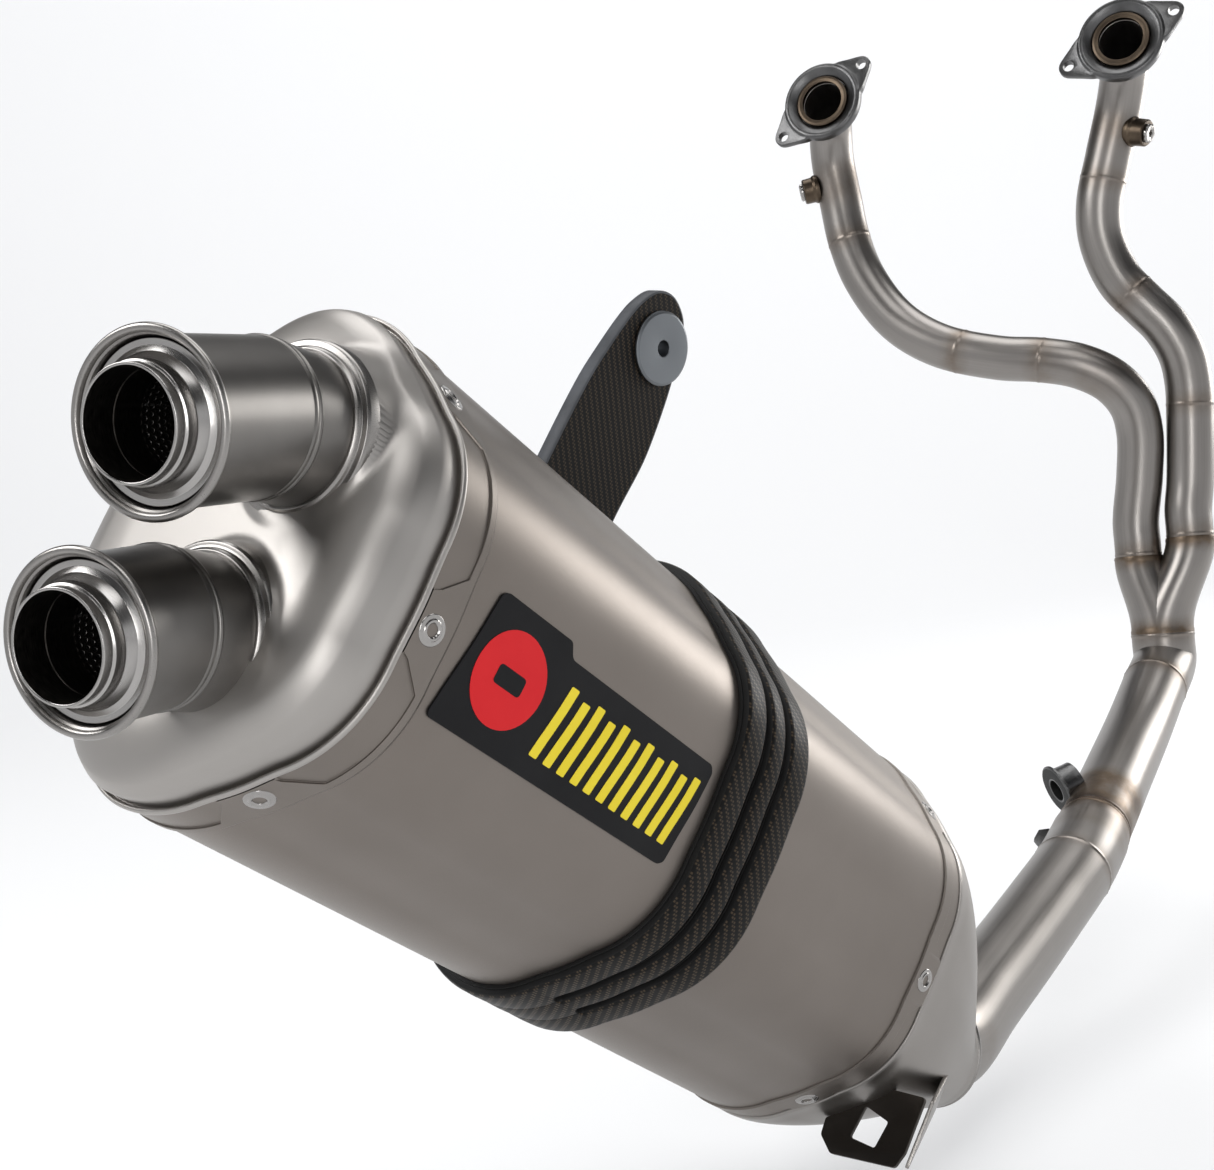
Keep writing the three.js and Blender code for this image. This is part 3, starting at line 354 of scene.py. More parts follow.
def crpath(P, step=0.5):
    P = np.asarray(P, float); out = []
    ext = np.vstack([2 * P[0] - P[1], P, 2 * P[-1] - P[-2]])
    for i in range(len(P) - 1):
        x0, x1, x2, x3 = ext[i:i + 4]
        d0, d1, d2 = [max(np.linalg.norm(b - a), 1e-6) ** 0.5 for a, b in ((x0, x1), (x1, x2), (x2, x3))]
        t1 = ((x1 - x0) / d0 - (x2 - x0) / (d0 + d1) + (x2 - x1) / d1) * d1
        t2 = ((x2 - x1) / d1 - (x3 - x1) / (d1 + d2) + (x3 - x2) / d2) * d1
        n = max(int(np.linalg.norm(x2 - x1) / step), 2)
        t = np.linspace(0, 1, n, endpoint=False)[:, None]
        out.append(x1 + t1 * t + (-3 * x1 + 3 * x2 - 2 * t1 - t2) * t ** 2 + (2 * x1 - 2 * x2 + t1 + t2) * t ** 3)
    out.append(P[-1:]); return np.vstack(out)

class Path:
    def __init__(self, P):
        self.p = crpath(P)
        d = np.linalg.norm(np.diff(self.p, axis=0), axis=1)
        self.s = np.concatenate([[0], np.cumsum(d)]); self.L = self.s[-1]
        T = np.gradient(self.p, self.s, axis=0); T /= np.linalg.norm(T, axis=1)[:, None]
        # smooth tangents a little
        k = np.ones(9) / 9
        T = np.stack([np.convolve(np.pad(T[:, i], 4, mode="edge"), k, "valid") for i in range(3)], 1)
        T /= np.linalg.norm(T, axis=1)[:, None]
        u = unit(np.cross(T[0], [0.3, 0.2, 0.93])); U = [u]
        for i in range(1, len(T)):
            u = U[-1] - T[i] * (U[-1] @ T[i]); U.append(u / np.linalg.norm(u))
        self.T, self.U = T, np.array(U)
    def at(self, s):
        f = lambda A: np.stack([np.interp(s, self.s, A[:, i]) for i in range(3)], -1)
        p, T, U = f(self.p), f(self.T), f(self.U)
        T /= np.linalg.norm(T, axis=-1, keepdims=True)
        U -= T * np.sum(U * T, -1, keepdims=True); U /= np.linalg.norm(U, axis=-1, keepdims=True)
        return p, T, U, np.cross(T, U)
    def nearest(self, q):
        return self.s[np.argmin(np.linalg.norm(self.p - np.asarray(q), axis=1))]

def pipe(name, path, s0, s1, rad, body, mats, rep=(), seg=56, welds=(), heat=(), inner=14.0, wall=1.2, step=3.0, bead=0.5):
    """thin tube between arc lengths s0 and s1; weld beads at welds, heat = (s, width, amount)"""
    S = list(np.arange(s0, s1, step)) + [s1]
    for w in welds: S += [v for v in np.arange(w - 3.5, w + 3.6, 0.45) if s0 < v < s1]
    S = np.unique(np.round(S, 3))
    S = S[np.concatenate([[True], np.diff(S) > 0.2])]
    if S[-1] < s1 - 1e-3: S = np.append(S, s1)
    th = np.arange(seg) * PI2 / seg
    radf = rad if callable(rad) else (lambda s: np.full_like(s, rad))
    def ring(s, dr, edge=False):
        s = np.atleast_1d(s); p, T, U, B = path.at(s)
        r = radf(s)[:, None] + dr + np.zeros((1, seg))
        if dr == 0:
            for w in welds:
                e = (s - w)[:, None]
                r = r + bead * np.exp(-(e / 1.25) ** 2) * (0.8 + 0.35 * np.sin(th * 34 + 1.5 * np.sin(th * 5))[None])
        return p[:, None] + r[..., None] * (np.cos(th)[None, :, None] * U[:, None] + np.sin(th)[None, :, None] * B[:, None])
    parts, ss = [], []
    inn = np.linspace(inner, 1.0, 4)
    parts.append(ring(np.minimum(s0 + inn, s1), -wall)); ss += list(s0 + inn)
    parts.append(ring(np.array([s0 + 0.25]), -wall)); ss.append(s0)
    parts.append(ring(np.array([s0]), -wall + 0.25)); ss.append(s0)
    parts.append(ring(np.array([s0]), -0.25)); ss.append(s0)
    Sx = S.copy(); Sx[0] += 0.25; Sx[-1] -= 0.25
    parts.append(ring(Sx, 0)); ss += list(Sx)
    parts.append(ring(np.array([s1]), -0.25)); ss.append(s1)
    parts.append(ring(np.array([s1]), -wall + 0.25)); ss.append(s1)
    parts.append(ring(np.maximum(s1 - inn[::-1], s0), -wall)); ss += list(s1 - inn[::-1])
    V = np.vstack(parts); ss = np.array(ss)
    co = np.stack([np.repeat(np.cos(th)[None], len(ss), 0) * 10, np.repeat(np.sin(th)[None], len(ss), 0) * 10, np.repeat(ss[:, None], seg, 1)], -1)
    tn = np.zeros(len(ss))
    for (c, w, a) in list(heat): tn += 0.6 * a * np.exp(-((ss - c) / w) ** 2)
    tint = np.repeat(np.clip(tn, 0, 1)[:, None], seg, 1)
    return add(name, V.reshape(-1, 3), faces(len(ss), seg, False, True), body, mats, rep, co.reshape(-1, 3), tint.ravel(), angle=50)

# ------------------------------------------------------------------ muffler shells
NA, NF = 40, 26
h0p, h0n = hexa(0, NA, NF)
h0s, PERIM = arclen(h0p)
def sring(o, yf): return hring(o, yf, NA, NF)
def hco(rows):      # surface coordinates: arc length, y', z'
    out = []
    for r in rows: out.append(np.stack([h0s, r[:, 1], r[:, 2]], 1))
    return np.vstack(out)
rows = [sring(0, exitY(1.4)), sring(0, exitY(60)), sring(0, inletY(-60)), sring(0, inletY(-1.4)), sring(-0.5, inletY(-1.2)), sring(-1, inletY(-1.4)), sring(-1, exitY(1.4)), sring(-0.5, exitY(1.2))]
shell("sleeve_skin", rows, "muffler", M_SLEEVE, ["muffler_sleeve"])

PANEL = [(91.0, -5.0), (51.5, 121 - 67 / 91 * 51.5), (-51.5, 121 - 67 / 91 * 51.5), (-91.0, -5.0), (-51.5, -(121 - 67 / 91 * 51.5)), (51.5, -(121 - 67 / 91 * 51.5))]
def fine_hex(na, nf):
    p, n = hexa(0, na, nf); s, L = arclen(p); return p, n, s, L
BA, BF = 96, 62
bp_, bn_, bs_, bL = fine_hex(BA, BF)
riv_s = sorted(bs_[np.argmin(np.hypot(bp_[:, 0] - x, bp_[:, 1] - z))] for x, z in PANEL)
def pocket(width_end, dmax, dmin, slope):
    """depth of the pocket's edge from the rim at every column"""
    out = np.full(len(bs_), 0.0)
    rs = riv_s + [riv_s[0] + bL]
    for a, b in zip(rs[:-1], rs[1:]):
        for off in (0, bL, -bL):
            e = np.minimum(bs_ + off - (a + width_end), (b - width_end) - (bs_ + off))
            v = np.where(e > 0, np.minimum(dmax, dmin + slope * e), 0)
            v = np.where((e > -0.9) & (e <= 0), dmin * (1 + e / 0.9), v)
            out = np.maximum(out, v)
    return out
def band(name, yf, sgn, dl, top, low, edge0, d_out, ramp, rep):
    # rows: (kind, value) -> distance from the rim d and offset o at each column
    e = np.maximum(dl, edge0)
    inp = (dl > edge0 + 0.6)
    seq = []
    for t in (0.0, 0.25, 0.5, 0.75, 0.93): seq.append((edge0 + (e - 0.35 - edge0).clip(0) * t, np.where(inp, low, top)))
    seq.append((np.maximum(e - 0.30, edge0), np.where(inp, low, top)))
    seq.append((np.maximum(e - 0.12, edge0 + 0.02), np.where(inp, low + 0.08, top)))
    seq.append((e + 0.02, np.where(inp, top - 0.12, top)))
    seq.append((e + 0.28, np.full_like(e, top)))
    seq.append((np.full_like(e, d_out - 1.6).clip(e + 0.5), np.full_like(e, top)))
    seq.append((np.full_like(e, d_out), np.full_like(e, top)))
    seq.append((np.full_like(e, d_out + ramp * 0.5), np.full_like(e, (top + 0.1) / 2)))
    seq.append((np.full_like(e, d_out + ramp), np.full_like(e, 0.06)))
    seq.append((np.full_like(e, d_out + ramp - 0.3), np.full_like(e, 0.02)))
    seq.append((np.full_like(e, edge0), np.full_like(e, 0.02)))
    R = []
    for d, o in seq:
        p = bp_ + bn_ * np.asarray(o)[:, None]
        # move along the slanted edge by d
        y = yf(0)(bp_[:, 0], bp_[:, 1]) + sgn * d
        R.append(np.stack([p[:, 0], y, p[:, 1]], 1))
    R = np.array(R)
    return shell(name, R, "muffler", M_BAND, rep, angle=24)
band("exit_band_skin", exitY, 1, pocket(13.5, 15.6, 4.5, 1.1), 1.15, 0.30, 1.6, 18.6, 1.7, ["exit_band"])
band("inlet_band_skin", inletY, -1, pocket(13.5, 11.0, 3.5, 1.1), 1.15, 0.30, 1.6, 18.4, 0.35, ["inlet_band"])

def rivet_piece(name, x, z, yf, node):
    n2 = np.array([0.0, 0.0])
    i = np.argmin(np.hypot(h0p[:, 0] - x, h0p[:, 1] - z))
    nrm = np.array([h0n[i, 0], 0, h0n[i, 1]])
    c = np.array([x, yf(x, z), z]) + nrm * BULGE * 0.7
    pr = [(0.02, -3.6), (2.45, -3.6), (2.45, 1.5, 0.3), (3.1, 2.2, 0.3), (3.9, 2.25, 0.35), (4.4, 1.75, 0.3), (5.9, 1.7, 0.4), (6.3, 1.2, 0.3), (6.3, 0.7), (0.02, 0.7 - 3.4)]
    # the rivet's centre hole (r < 2.5, d < 0.9) gets near-black paint: painted shade inside the hole
    lathe(name, pr, c, nrm, "muffler", [M_FAST, M_PAINTED_SHADE], [node], seg=40, matf=lambda r, d: 1 if (r < 2.5 and d < 0.9) else 0)
# node names follow the panel order
for k, (x, z) in enumerate(PANEL):
    rivet_piece(f"rivet_e{k+1}", x, z, exitY(9), f"rivet_exit_{k+1}")
    rivet_piece(f"rivet_i{k+1}", x, z, inletY(-9), f"rivet_inlet_{k+1}")

# exit cap ----------------------------------------------------------------
KO = np.array([1.0, 5, 13, 26, 44, 60]); KV = np.array([0, 0.45, 0.74, 0.93, 1.0, 1.0])
def kcurve(o):
    """monotone cubic through the cap's section"""
    h = np.diff(KO); d = np.diff(KV) / h
    m = np.zeros(len(KO)); m[0] = d[0] * 1.35; m[-1] = 0
    for i in range(1, len(KO) - 1):
        m[i] = 0 if d[i - 1] * d[i] <= 0 else 2 * d[i - 1] * d[i] / (d[i - 1] + d[i])
    i = np.clip(np.searchsorted(KO, o) - 1, 0, len(KO) - 2)
    t = (o - KO[i]) / h[i]
    return (2 * t**3 - 3 * t**2 + 1) * KV[i] + (t**3 - 2 * t**2 + t) * h[i] * m[i] + (-2 * t**3 + 3 * t**2) * KV[i + 1] + (t**3 - t**2) * h[i] * m[i + 1]
def boss_field(x, y, z, c, R=34.4, k=2.5):
    q = np.stack([x - c[0], y - c[1], z - c[2]], -1)
    t = q @ NECK_MID
    r = np.linalg.norm(q - t[..., None] * NECK_MID, axis=-1)
    a, b = r - (R + 0.06 * np.maximum(t, 0)), -t
    h = np.clip(0.5 + 0.5 * (a - b) / k, 0, 1)
    return b * (1 - h) + a * h + k * h * (1 - h)
def smin(a, b, k):
    h = np.clip(0.5 + 0.5 * (b - a) / k, 0, 1)
    return b * (1 - h) + a * h - k * h * (1 - h)
def cap_y(x, z, yd, slope):
    ys = np.arange(-62, 16, 0.5)
    w = 1 / np.sqrt(1 + slope ** 2)
    prev = None; out = np.array(yd, float); done = np.zeros(len(x), bool)
    for y in ys:
        Y = np.full(len(x), y)
        f = smin(boss_field(x, Y, z, RING["upper"]), boss_field(x, Y, z, RING["lower"]), 4.0)
        f = smin((yd - Y) * w, f, 5.0)
        if prev is not None:
            hit = (~done) & (prev > 0) & (f <= 0)
            out[hit] = y - 0.5 * (-f[hit]) / (prev[hit] - f[hit] + 1e-9)
            done |= hit
        prev = f
    return out
CA, CF = 70, 46
capring = lambda o: hexa(o, CA, CF)[0]
rings = []
def ring_at(o, yf):
    p = capring(o); return np.stack([p[:, 0], yf(p[:, 0], p[:, 1]), p[:, 1]], 1)
lip = [(-1.4, 14), (-1.4, 1.2), (0.2, 1.15), (0.9, 1.0), (1.35, 0.5), (1.45, -0.2), (1.25, -0.95), (0.8, -1.45), (0.2, -1.6), (-0.3, -1.35), (-0.55, -0.6), (-0.65, 0.6), (-1.0, 0.9), (-1.5, 0.8), (-1.7, 0.2), (-1.75, -1.0), (-1.72, -2.5), (-1.6, -4.5)]
for o, d in lip: rings.append(ring_at(o, exitY(d)))
offs = np.concatenate([np.arange(1.55, 10, 0.42), np.arange(10, 44.01, 0.85)])
base = {}
def dome(o, p):
    kk = kcurve(np.array([max(o, 1.0)]))[0]
    return exitY(-7)(p[:, 0], p[:, 1]) * (1 - kk) + faceY(0)(p[:, 0], p[:, 1]) * kk
for o in offs:
    p = capring(-o)
    yd = dome(o, p); yd2 = dome(o + 0.4, capring(-(o + 0.4)))
    slope = np.abs(yd2 - yd) / 0.4
    y = cap_y(p[:, 0], p[:, 1], yd, slope)
    if o < 4: y = yd + (y - yd) * max(0, (o - 1.55) / 2.45)
    rings.append(np.stack([p[:, 0], y, p[:, 1]], 1))
pc = capring(-44.0)
for t in np.linspace(0, 1, 58)[1:-1]:
    p = pc * (1 - t)
    rings.append(np.stack([p[:, 0], cap_y(p[:, 0], p[:, 1], faceY(0)(p[:, 0], p[:, 1]), np.zeros(len(p))), p[:, 1]], 1))
R = np.array(rings); K, N, _ = R.shape
cx = W([[0, faceY(0)(0, 0), 0]])
cy = cap_y(np.array([0.0]), np.array([0.0]), np.array([faceY(0)(0, 0)]), np.array([0.0]))[0]
V = np.vstack([W(R.reshape(-1, 3)), W([[0, cy, 0]])])
F = faces(K, N, False, True)
fan = [[(K - 1) * N + j, (K - 1) * N + (j + 1) % N, K * N] for j in range(N)]
add("exit_cap_skin", V, F, "muffler", M_CAP, ["exit_cap"], angle=60, ngons=fan)

# necks, outlet sleeves, dampers -------------------------------------------
mitre = unit(TIP_AXIS + NECK_MID)
for k in ("upper", "lower"):
    # collar: double step round the root of the neck
    lathe(f"neck_collar_{k}", [(29.0, 5), (29.0, -3.4, 0.3), (30.4, -3.5, 0.6), (31.4, -2.6, 0.5), (31.7, -1.2, 0.3), (32.6, -1.0, 0.3), (33.9, -0.9, 0.7), (34.7, 0.3, 0.8), (34.9, 3.0), (34.9, 5)],
          RING[k], NECK_MID, "muffler", M_RIM, seg=120)
    # neck tube up to the mitre
    x, y, z = frame_of(NECK_MID); seg = 120; th = np.arange(seg) * PI2 / seg
    dirs = np.cos(th)[:, None] * x + np.sin(th)[:, None] * z
    def on_mitre(c, axis, r, dd, dirs):
        b = c + r * dirs; t = ((SEAM[k] - b) @ mitre) / (axis @ mitre)
        return b + (t + dd)[:, None] * axis if np.ndim(dd) else b + (t + dd)[:, None] * axis
    prof = [(29.25, 9.0, 1), (29.25, -2.0, 1), (29.25, 6.0, 0), (29.25, 2.6, 0), (29.55, 2.2, 0), (29.75, 1.5, 0), (29.55, 0.8, 0), (29.2, 0.5, 0), (29.1, 0.15, 0), (28.0, 0.15, 0), (28.0, 9, 1)]
    rows_ = []
    for r_, d_, fl in prof:
        if fl: rows_.append(RING[k] + r_ * dirs + d_ * NECK_MID)
        else: rows_.append(on_mitre(RING[k], NECK_MID, r_, d_, dirs))
    co = np.concatenate([np.stack([np.cos(th) * 20, np.sin(th) * 20, np.full(seg, pr_[1] * (1 if pr_[2] else 1) + (0 if pr_[2] else -23))], 1) for pr_ in prof])
    add(f"neck_skin_{k}", W(np.vstack(rows_)), faces(len(prof), seg, True, True), "muffler", M_TIP, [f"outlet_neck_{k}"], co, angle=30)
    # outlet sleeve with rolled rim
    x, y, z = frame_of(TIP_AXIS); dirs = np.cos(th)[:, None] * x + np.sin(th)[:, None] * z
    rim = [(31.35 + 1.7 * math.cos(a), 1.85 - 1.7 * math.sin(a)) for a in np.linspace(math.radians(-75), math.radians(200), 16)]
    prof = [(29.6, 7.5, 1), (29.65, 4.8, 1), (30.0, 3.9, 1), (30.8, 3.55, 1)] + [(r_, d_, 1) for r_, d_ in rim] + [(29.0, 3.0, 1), (28.6, 4.6, 1), (28.45, 6.5, 1), (28.45, 14, 1)]
    inner_far = [(28.4, -2.0, 0), (28.4, -0.15, 0), (29.2, -0.15, 0), (29.45, -0.6, 0), (29.95, -0.9, 0), (30.1, -1.7, 0), (29.95, -2.5, 0), (29.62, -2.9, 0), (29.6, -6.0, 0)]
    allp = prof + inner_far
    rows_ = []
    for r_, d_, fl in allp:
        if fl: rows_.append(MOUTH[k] + r_ * dirs + d_ * TIP_AXIS)
        else: rows_.append(on_mitre(MOUTH[k], TIP_AXIS, r_, d_, dirs))
    co = np.concatenate([np.stack([np.cos(th) * 20, np.sin(th) * 20, np.full(seg, pr_[1] if pr_[2] else TIP_LEN[k] + pr_[1])], 1) for pr_ in allp])
    fm = np.repeat([1 if (i >= 1 and i < len(prof)) else 0 for i in range(len(allp))], seg)
    add(f"outlet_skin_{k}", W(np.vstack(rows_)), faces(len(allp), seg, True, True), "muffler", [M_TIP, M_RIM], [f"outlet_sleeve_{k}"], co, angle=34, fmat=fm)
    # damper
    L = DAMPER_LEN[k]
    pr = [(19.0, -8.5, 0.45), (20.2, -8.5, 0.45), (20.2, -4.4, 0.3), (21.1, -3.9, 0.3), (21.1, 0.6, 1.4), (23.6, 3.8, 0.8), (25.6, 4.9, 0.4), (27.9, 4.5, 0.4), (27.9, 22), (26.7, 22), (26.7, 6.4, 0.4), (24.0, 6.8, 0.5), (21.0, 4.2, 0.5), (20.2, 22, 1), (17.5, 30, 1), (17.5, L), (16.3, L), (16.3, 29.4, 1.5), (18.7, 21.6, 1.5), (18.7, 6.2, 0.2), (19.0, 5.8, 0.2)]
    P = rounded(pr, 3)
    def bore(r_, d_):
        return 1 if (r_ < 19.02 and d_ > -7.6) or (r_ < 21.0 and d_ > 20) else 0
    seg2 = 120; th2 = np.arange(seg2) * PI2 / seg2
    dirs2 = np.cos(th2)[:, None] * x + np.sin(th2)[:, None] * z
    rows_ = np.array([MOUTH[k] + r_ * dirs2 + d_ * TIP_AXIS for r_, d_ in P])
    co = np.concatenate([np.stack([th2 * 17.0, th2, np.full(seg2, d_ + 8.5)], 1) for r_, d_ in P])
    fm = np.repeat([bore(*((P[i] + P[(i + 1) % len(P)]) / 2)) for i in range(len(P))], seg2)
    add(f"damper_skin_{k}", W(rows_.reshape(-1, 3)), faces(len(P), seg2, True, True), f"damper_{k}_body", [M_POL, M_BORE], [f"damper_{k}"], co, angle=34, fmat=fm)
    # screw in the bore
    out = unit(WD([0, 0, 0])) if False else None
    wz = np.array([0, 0, -1.0]); ax = WD(TIP_AXIS); o3 = unit(wz - ax * (wz @ ax))
    c3 = W([MOUTH[k] + TIP_AXIS * 14])[0]
    pr = [(0.02, 17.0), (1.9, 17.0, 0.1), (2.1, 15.7, 0.2), (3.7, 15.6, 0.5), (4.0, 16.2, 0.2), (4.0, 18.0), (2.0, 18.0), (2.0, 27.8), (0.02, 27.8)]
    lathe(f"damper_screw_skin_{k}", pr, c3, o3, f"damper_{k}_body", M_FAST, [f"damper_screw_{k}"], seg=32, muf=False)

# inlet cap ----------------------------------------------------------------
def collar_ring(r, d, src):
    c = SLIP_C + SLIP_AXIS * d
    u = np.array([1.0, 0, 0]); w = unit(np.cross(u, SLIP_AXIS))
    a = np.arctan2(src[:, 1], src[:, 0])
    return c + r * np.cos(a)[:, None] * u + r * np.sin(a)[:, None] * w
def mixr(A, B, k, bulge):
    q = A.copy(); q[:, 1] = 0
    q /= np.linalg.norm(q, axis=1)[:, None]
    return A * (1 - k) + B * k + q * bulge
A = sring(1.0, inletY(6)); Bc = collar_ring(33.4, -3, h0p)
ks = np.array([0, 0.14, 0.34, 0.62, 1.0]); bl = np.array([0, 3, 5, 2.5, 0])
rows = [sring(-1.4, inletY(-14)), sring(-1.4, inletY(-1.0)), sring(0.4, inletY(-1.0)), sring(1.0, inletY(-0.6)), sring(1.25, inletY(0.3)), sring(1.3, inletY(2.0)), sring(1.15, inletY(4.5))]
for t in np.linspace(0.02, 1, 40):
    # ease the first part so the rim turns smoothly into the cone
    b = np.interp(t, ks, bl) if False else 5.2 * math.sin(math.pi * min(1, t * 1.05) ** 0.8) ** 1.0 * (1 - 0.35 * t)
    rows.append(mixr(A, Bc, t, max(b, 0)))
rows += [collar_ring(33.3, -1.2, h0p), collar_ring(33.2, 0.1, h0p), collar_ring(32.4, 0.3, h0p), collar_ring(31.2, 0.3, h0p), collar_ring(31.2, -6, h0p)]
R = np.array(rows)
co = np.concatenate([np.stack([h0s, np.full(len(h0s), i * 3.0), np.zeros(len(h0s))], 1) for i in range(len(R))])
shell("inlet_cap_skin", R, "muffler", M_CAPIN, ["inlet_cap"], closed=False, co=co, angle=40)
lathe("inlet_stub_skin", [(29.3, -20), (30.6, -20), (30.6, 6.2, 0.3), (30.3, 6.5, 0.2), (29.5, 6.5, 0.2)], SLIP_C, SLIP_AXIS, "muffler", M_RIM, ["inlet_stub"], seg=96)
lathe("inlet_collar_skin", [(30.7, 0.5), (32.6, 0.5, 0.3), (33.7, 1.4, 0.6), (33.7, 2.4, 0.6), (32.5, 3.2, 0.3), (32.9, 3.8, 0.4), (32.0, 4.8, 0.5), (30.7, 4.8, 0.2)], SLIP_C, SLIP_AXIS, "muffler", M_RIM, ["inlet_collar"], seg=96)

# clamp --------------------------------------------------------------------
# slot factor along the section: open on the outboard side
open_s = np.zeros(len(bs_))
mask = ((bp_[:, 0] > 22) & (bp_[:, 1] > 0)) | ((bp_[:, 0] > 35) & (bp_[:, 1] <= 0))
idx = np.nonzero(mask)[0]
# distance inside the mask measured along the section
ins = np.zeros(len(bs_))
Nn = len(bs_)
start = [i for i in idx if not mask[(i - 1) % Nn]][0]; end = [i for i in idx if not mask[(i + 1) % Nn]][0]
sl = (bs_ - bs_[start]) % bL; se = (bs_[end] - bs_[start]) % bL
ins = np.where(mask, np.minimum(sl, se - sl), 0)
wslot = np.where(mask, np.sqrt(np.clip(1 - (1 - np.clip(ins / 2.4, 0, 1)) ** 2, 0, 1)), 0)
def strap(name, oin, oout, y0, y1, half, chamfer, edge_h, body, mats, rep, rib=0.0):
    """closed strap with two slots; rows walk out along the top and back underneath"""
    cs = (228.75, 245.75)
    top = []   # (y array, offset array)
    one = np.ones(Nn)
    ribs = [(y0, cs[0], 0, 1), (cs[0], cs[1], 1, 1), (cs[1], y1, 1, 0)]
    outer, inner, gaps = [], [], []
    for ri, (a, b, la, lb) in enumerate(ribs):
        ya = a * one + la * half * wslot; yb = b * one - lb * half * wslot
        ca = chamfer * (wslot if la else 1 * one); cb = chamfer * (wslot if lb else 1 * one)
        ea = (edge_h * (wslot if la else one)); eb = (edge_h * (wslot if lb else one))
        blk = [(ya, oout - ea), (ya + 0.25 * ca, oout - 0.45 * ea), (ya + ca, oout * one - 0.05), (ya + ca + 1.0, oout + rib * 0.5 * one), ((ya + yb) / 2, oout + rib * one), (yb - cb - 1.0, oout + rib * 0.5 * one), (yb - cb, oout * one - 0.05), (yb - 0.25 * cb, oout - 0.45 * eb), (yb, oout - eb)]
        outer.append(blk); inner.append([(ya, oin * one), (yb, oin * one)])
    seqs = []
    R, F, base = [], [], 0
    def pos(y, o):
        p = bp_ + bn_ * np.asarray(o)[:, None]
        return np.stack([p[:, 0], clampY(0)(bp_[:, 0], bp_[:, 1]) + y, p[:, 1]], 1)
    fm = []
    # outer grid rows for the three ribs; ribs are joined where there is no slot
    for ri in range(3):
        for (y, o) in outer[ri]: R.append(pos(y, o))
    for ri in range(3):
        for (y, o) in inner[ri]: R.append(pos(y, o))
    nO = len(outer[0])
    slotcol = mask & np.roll(mask, -1)
    def strip(r0, r1, cond, m):
        j = np.nonzero(cond)[0]; j1 = (j + 1) % Nn
        F.append(np.stack([r0 * Nn + j, r0 * Nn + j1, r1 * Nn + j1, r1 * Nn + j], -1)); fm.append(np.full(len(j), m))
    allc = np.ones(Nn, bool)
    for ri in range(3):
        for q in range(nO - 1): strip(ri * nO + q, ri * nO + q + 1, allc, 1 if q in (0, nO - 2) else 0)
    I0 = 3 * nO
    for ri in range(3): strip(I0 + 2 * ri, I0 + 2 * ri + 1, allc, 1)
    for ri in range(2):     # across the slot line where it is closed, and the slot's walls where it is open
        strip(ri * nO + nO - 1, (ri + 1) * nO, ~slotcol, 0); strip(I0 + 2 * ri + 1, I0 + 2 * ri + 2, ~slotcol, 1)
        strip(ri * nO + nO - 1, I0 + 2 * ri + 1, slotcol, 1); strip((ri + 1) * nO, I0 + 2 * ri + 2, slotcol, 1)
    strip(0, I0, allc, 1); strip(2 * nO + nO - 1, I0 + 5, allc, 1)
    R = np.array(R); V = W(R.reshape(-1, 3))
    co = np.concatenate([np.stack([bs_, r[:, 1], r[:, 2]], 1) for r in R])
    F = np.vstack(F)
    # drop the zero-width quads on the closed slot lines by merging coincident rows
    me_idx = np.arange(len(V))
    for ri in range(2):
        for (ra, rb) in ((ri * nO + nO - 1, (ri + 1) * nO), (I0 + 2 * ri + 1, I0 + 2 * ri + 2)):
            j = np.nonzero(wslot < 1e-6)[0]; me_idx[rb * Nn + j] = ra * Nn + j
    F = me_idx[F]; fmv = np.concatenate(fm)
    keep = []; Fl = []
    for f, mm in zip(F, fmv):
        u = []
        for v in f:
            if not u or (u[-1] != v): u.append(v)
        if len(u) > 1 and u[0] == u[-1]: u = u[:-1]
        if len(set(u)) >= 3 and len(set(u)) == len(u): Fl.append(u); keep.append(mm)
    used = np.unique(np.concatenate([np.array(f) for f in Fl])); remap = -np.ones(len(V), int); remap[used] = np.arange(len(used))
    Fl = [[int(remap[v]) for v in f] for f in Fl]
    return add(name, V[used], Fl, body, mats, rep, co[used], angle=30, fmat=keep)
strap("clamp_rubber", 0.2, 1.9, 209.6, 265.4, 2.0, 0.3, 0.2, "muffler", [M_RUBBER, M_RUBBER], ["clamp_liner"])
strap("clamp_carbon", 2.0, 5.35, 210.4, 265.0, 2.45, 1.5, 1.7, "muffler", [M_CARBON, M_RUBBER], ["clamp_band"], rib=0.35)

# hanger arm ----------------------------------------------------------------
armX = -97.1; armT = 9.5; BY, BZ = 234.0, 249.0
outl = np.array([[202, -36], [267, -36], [268, 60], [261, 150], [262, 190], [260.5, 206], [256.5, 230], [253, 245], [251, 256], [246, 267], [238.5, 275], [226, 279], [214, 274], [206.5, 262], [203, 250], [199, 225], [197, 206], [197, 150], [200, 60]], float)
def smooth_closed(P, n=8, sharp=()):
    m = len(P); out = []
    for i in range(m):
        p0, p1, p2, p3 = P[i - 1], P[i], P[(i + 1) % m], P[(i + 2) % m]
        if i in sharp and (i + 1) % m in sharp:
            for t in np.linspace(0, 1, n, endpoint=False): out.append(p1 + (p2 - p1) * t)
            continue
        d0, d1, d2 = [max(np.linalg.norm(b - a), 1e-6) ** 0.5 for a, b in ((p0, p1), (p1, p2), (p2, p3))]
        t1 = ((p1 - p0) / d0 - (p2 - p0) / (d0 + d1) + (p2 - p1) / d1) * d1
        t2 = ((p2 - p1) / d1 - (p3 - p1) / (d1 + d2) + (p3 - p2) / d2) * d1
        for t in np.linspace(0, 1, n, endpoint=False):
            out.append(p1 + t1 * t + (-3 * p1 + 3 * p2 - 2 * t1 - t2) * t * t + (2 * p1 - 2 * p2 + t1 + t2) * t ** 3)
    return np.array(out)
O = smooth_closed(outl, 10, sharp=(0, 1))
tg = np.roll(O, -1, 0) - np.roll(O, 1, 0); tg /= np.linalg.norm(tg, axis=1)[:, None]
on = np.stack([tg[:, 1], -tg[:, 0]], 1)
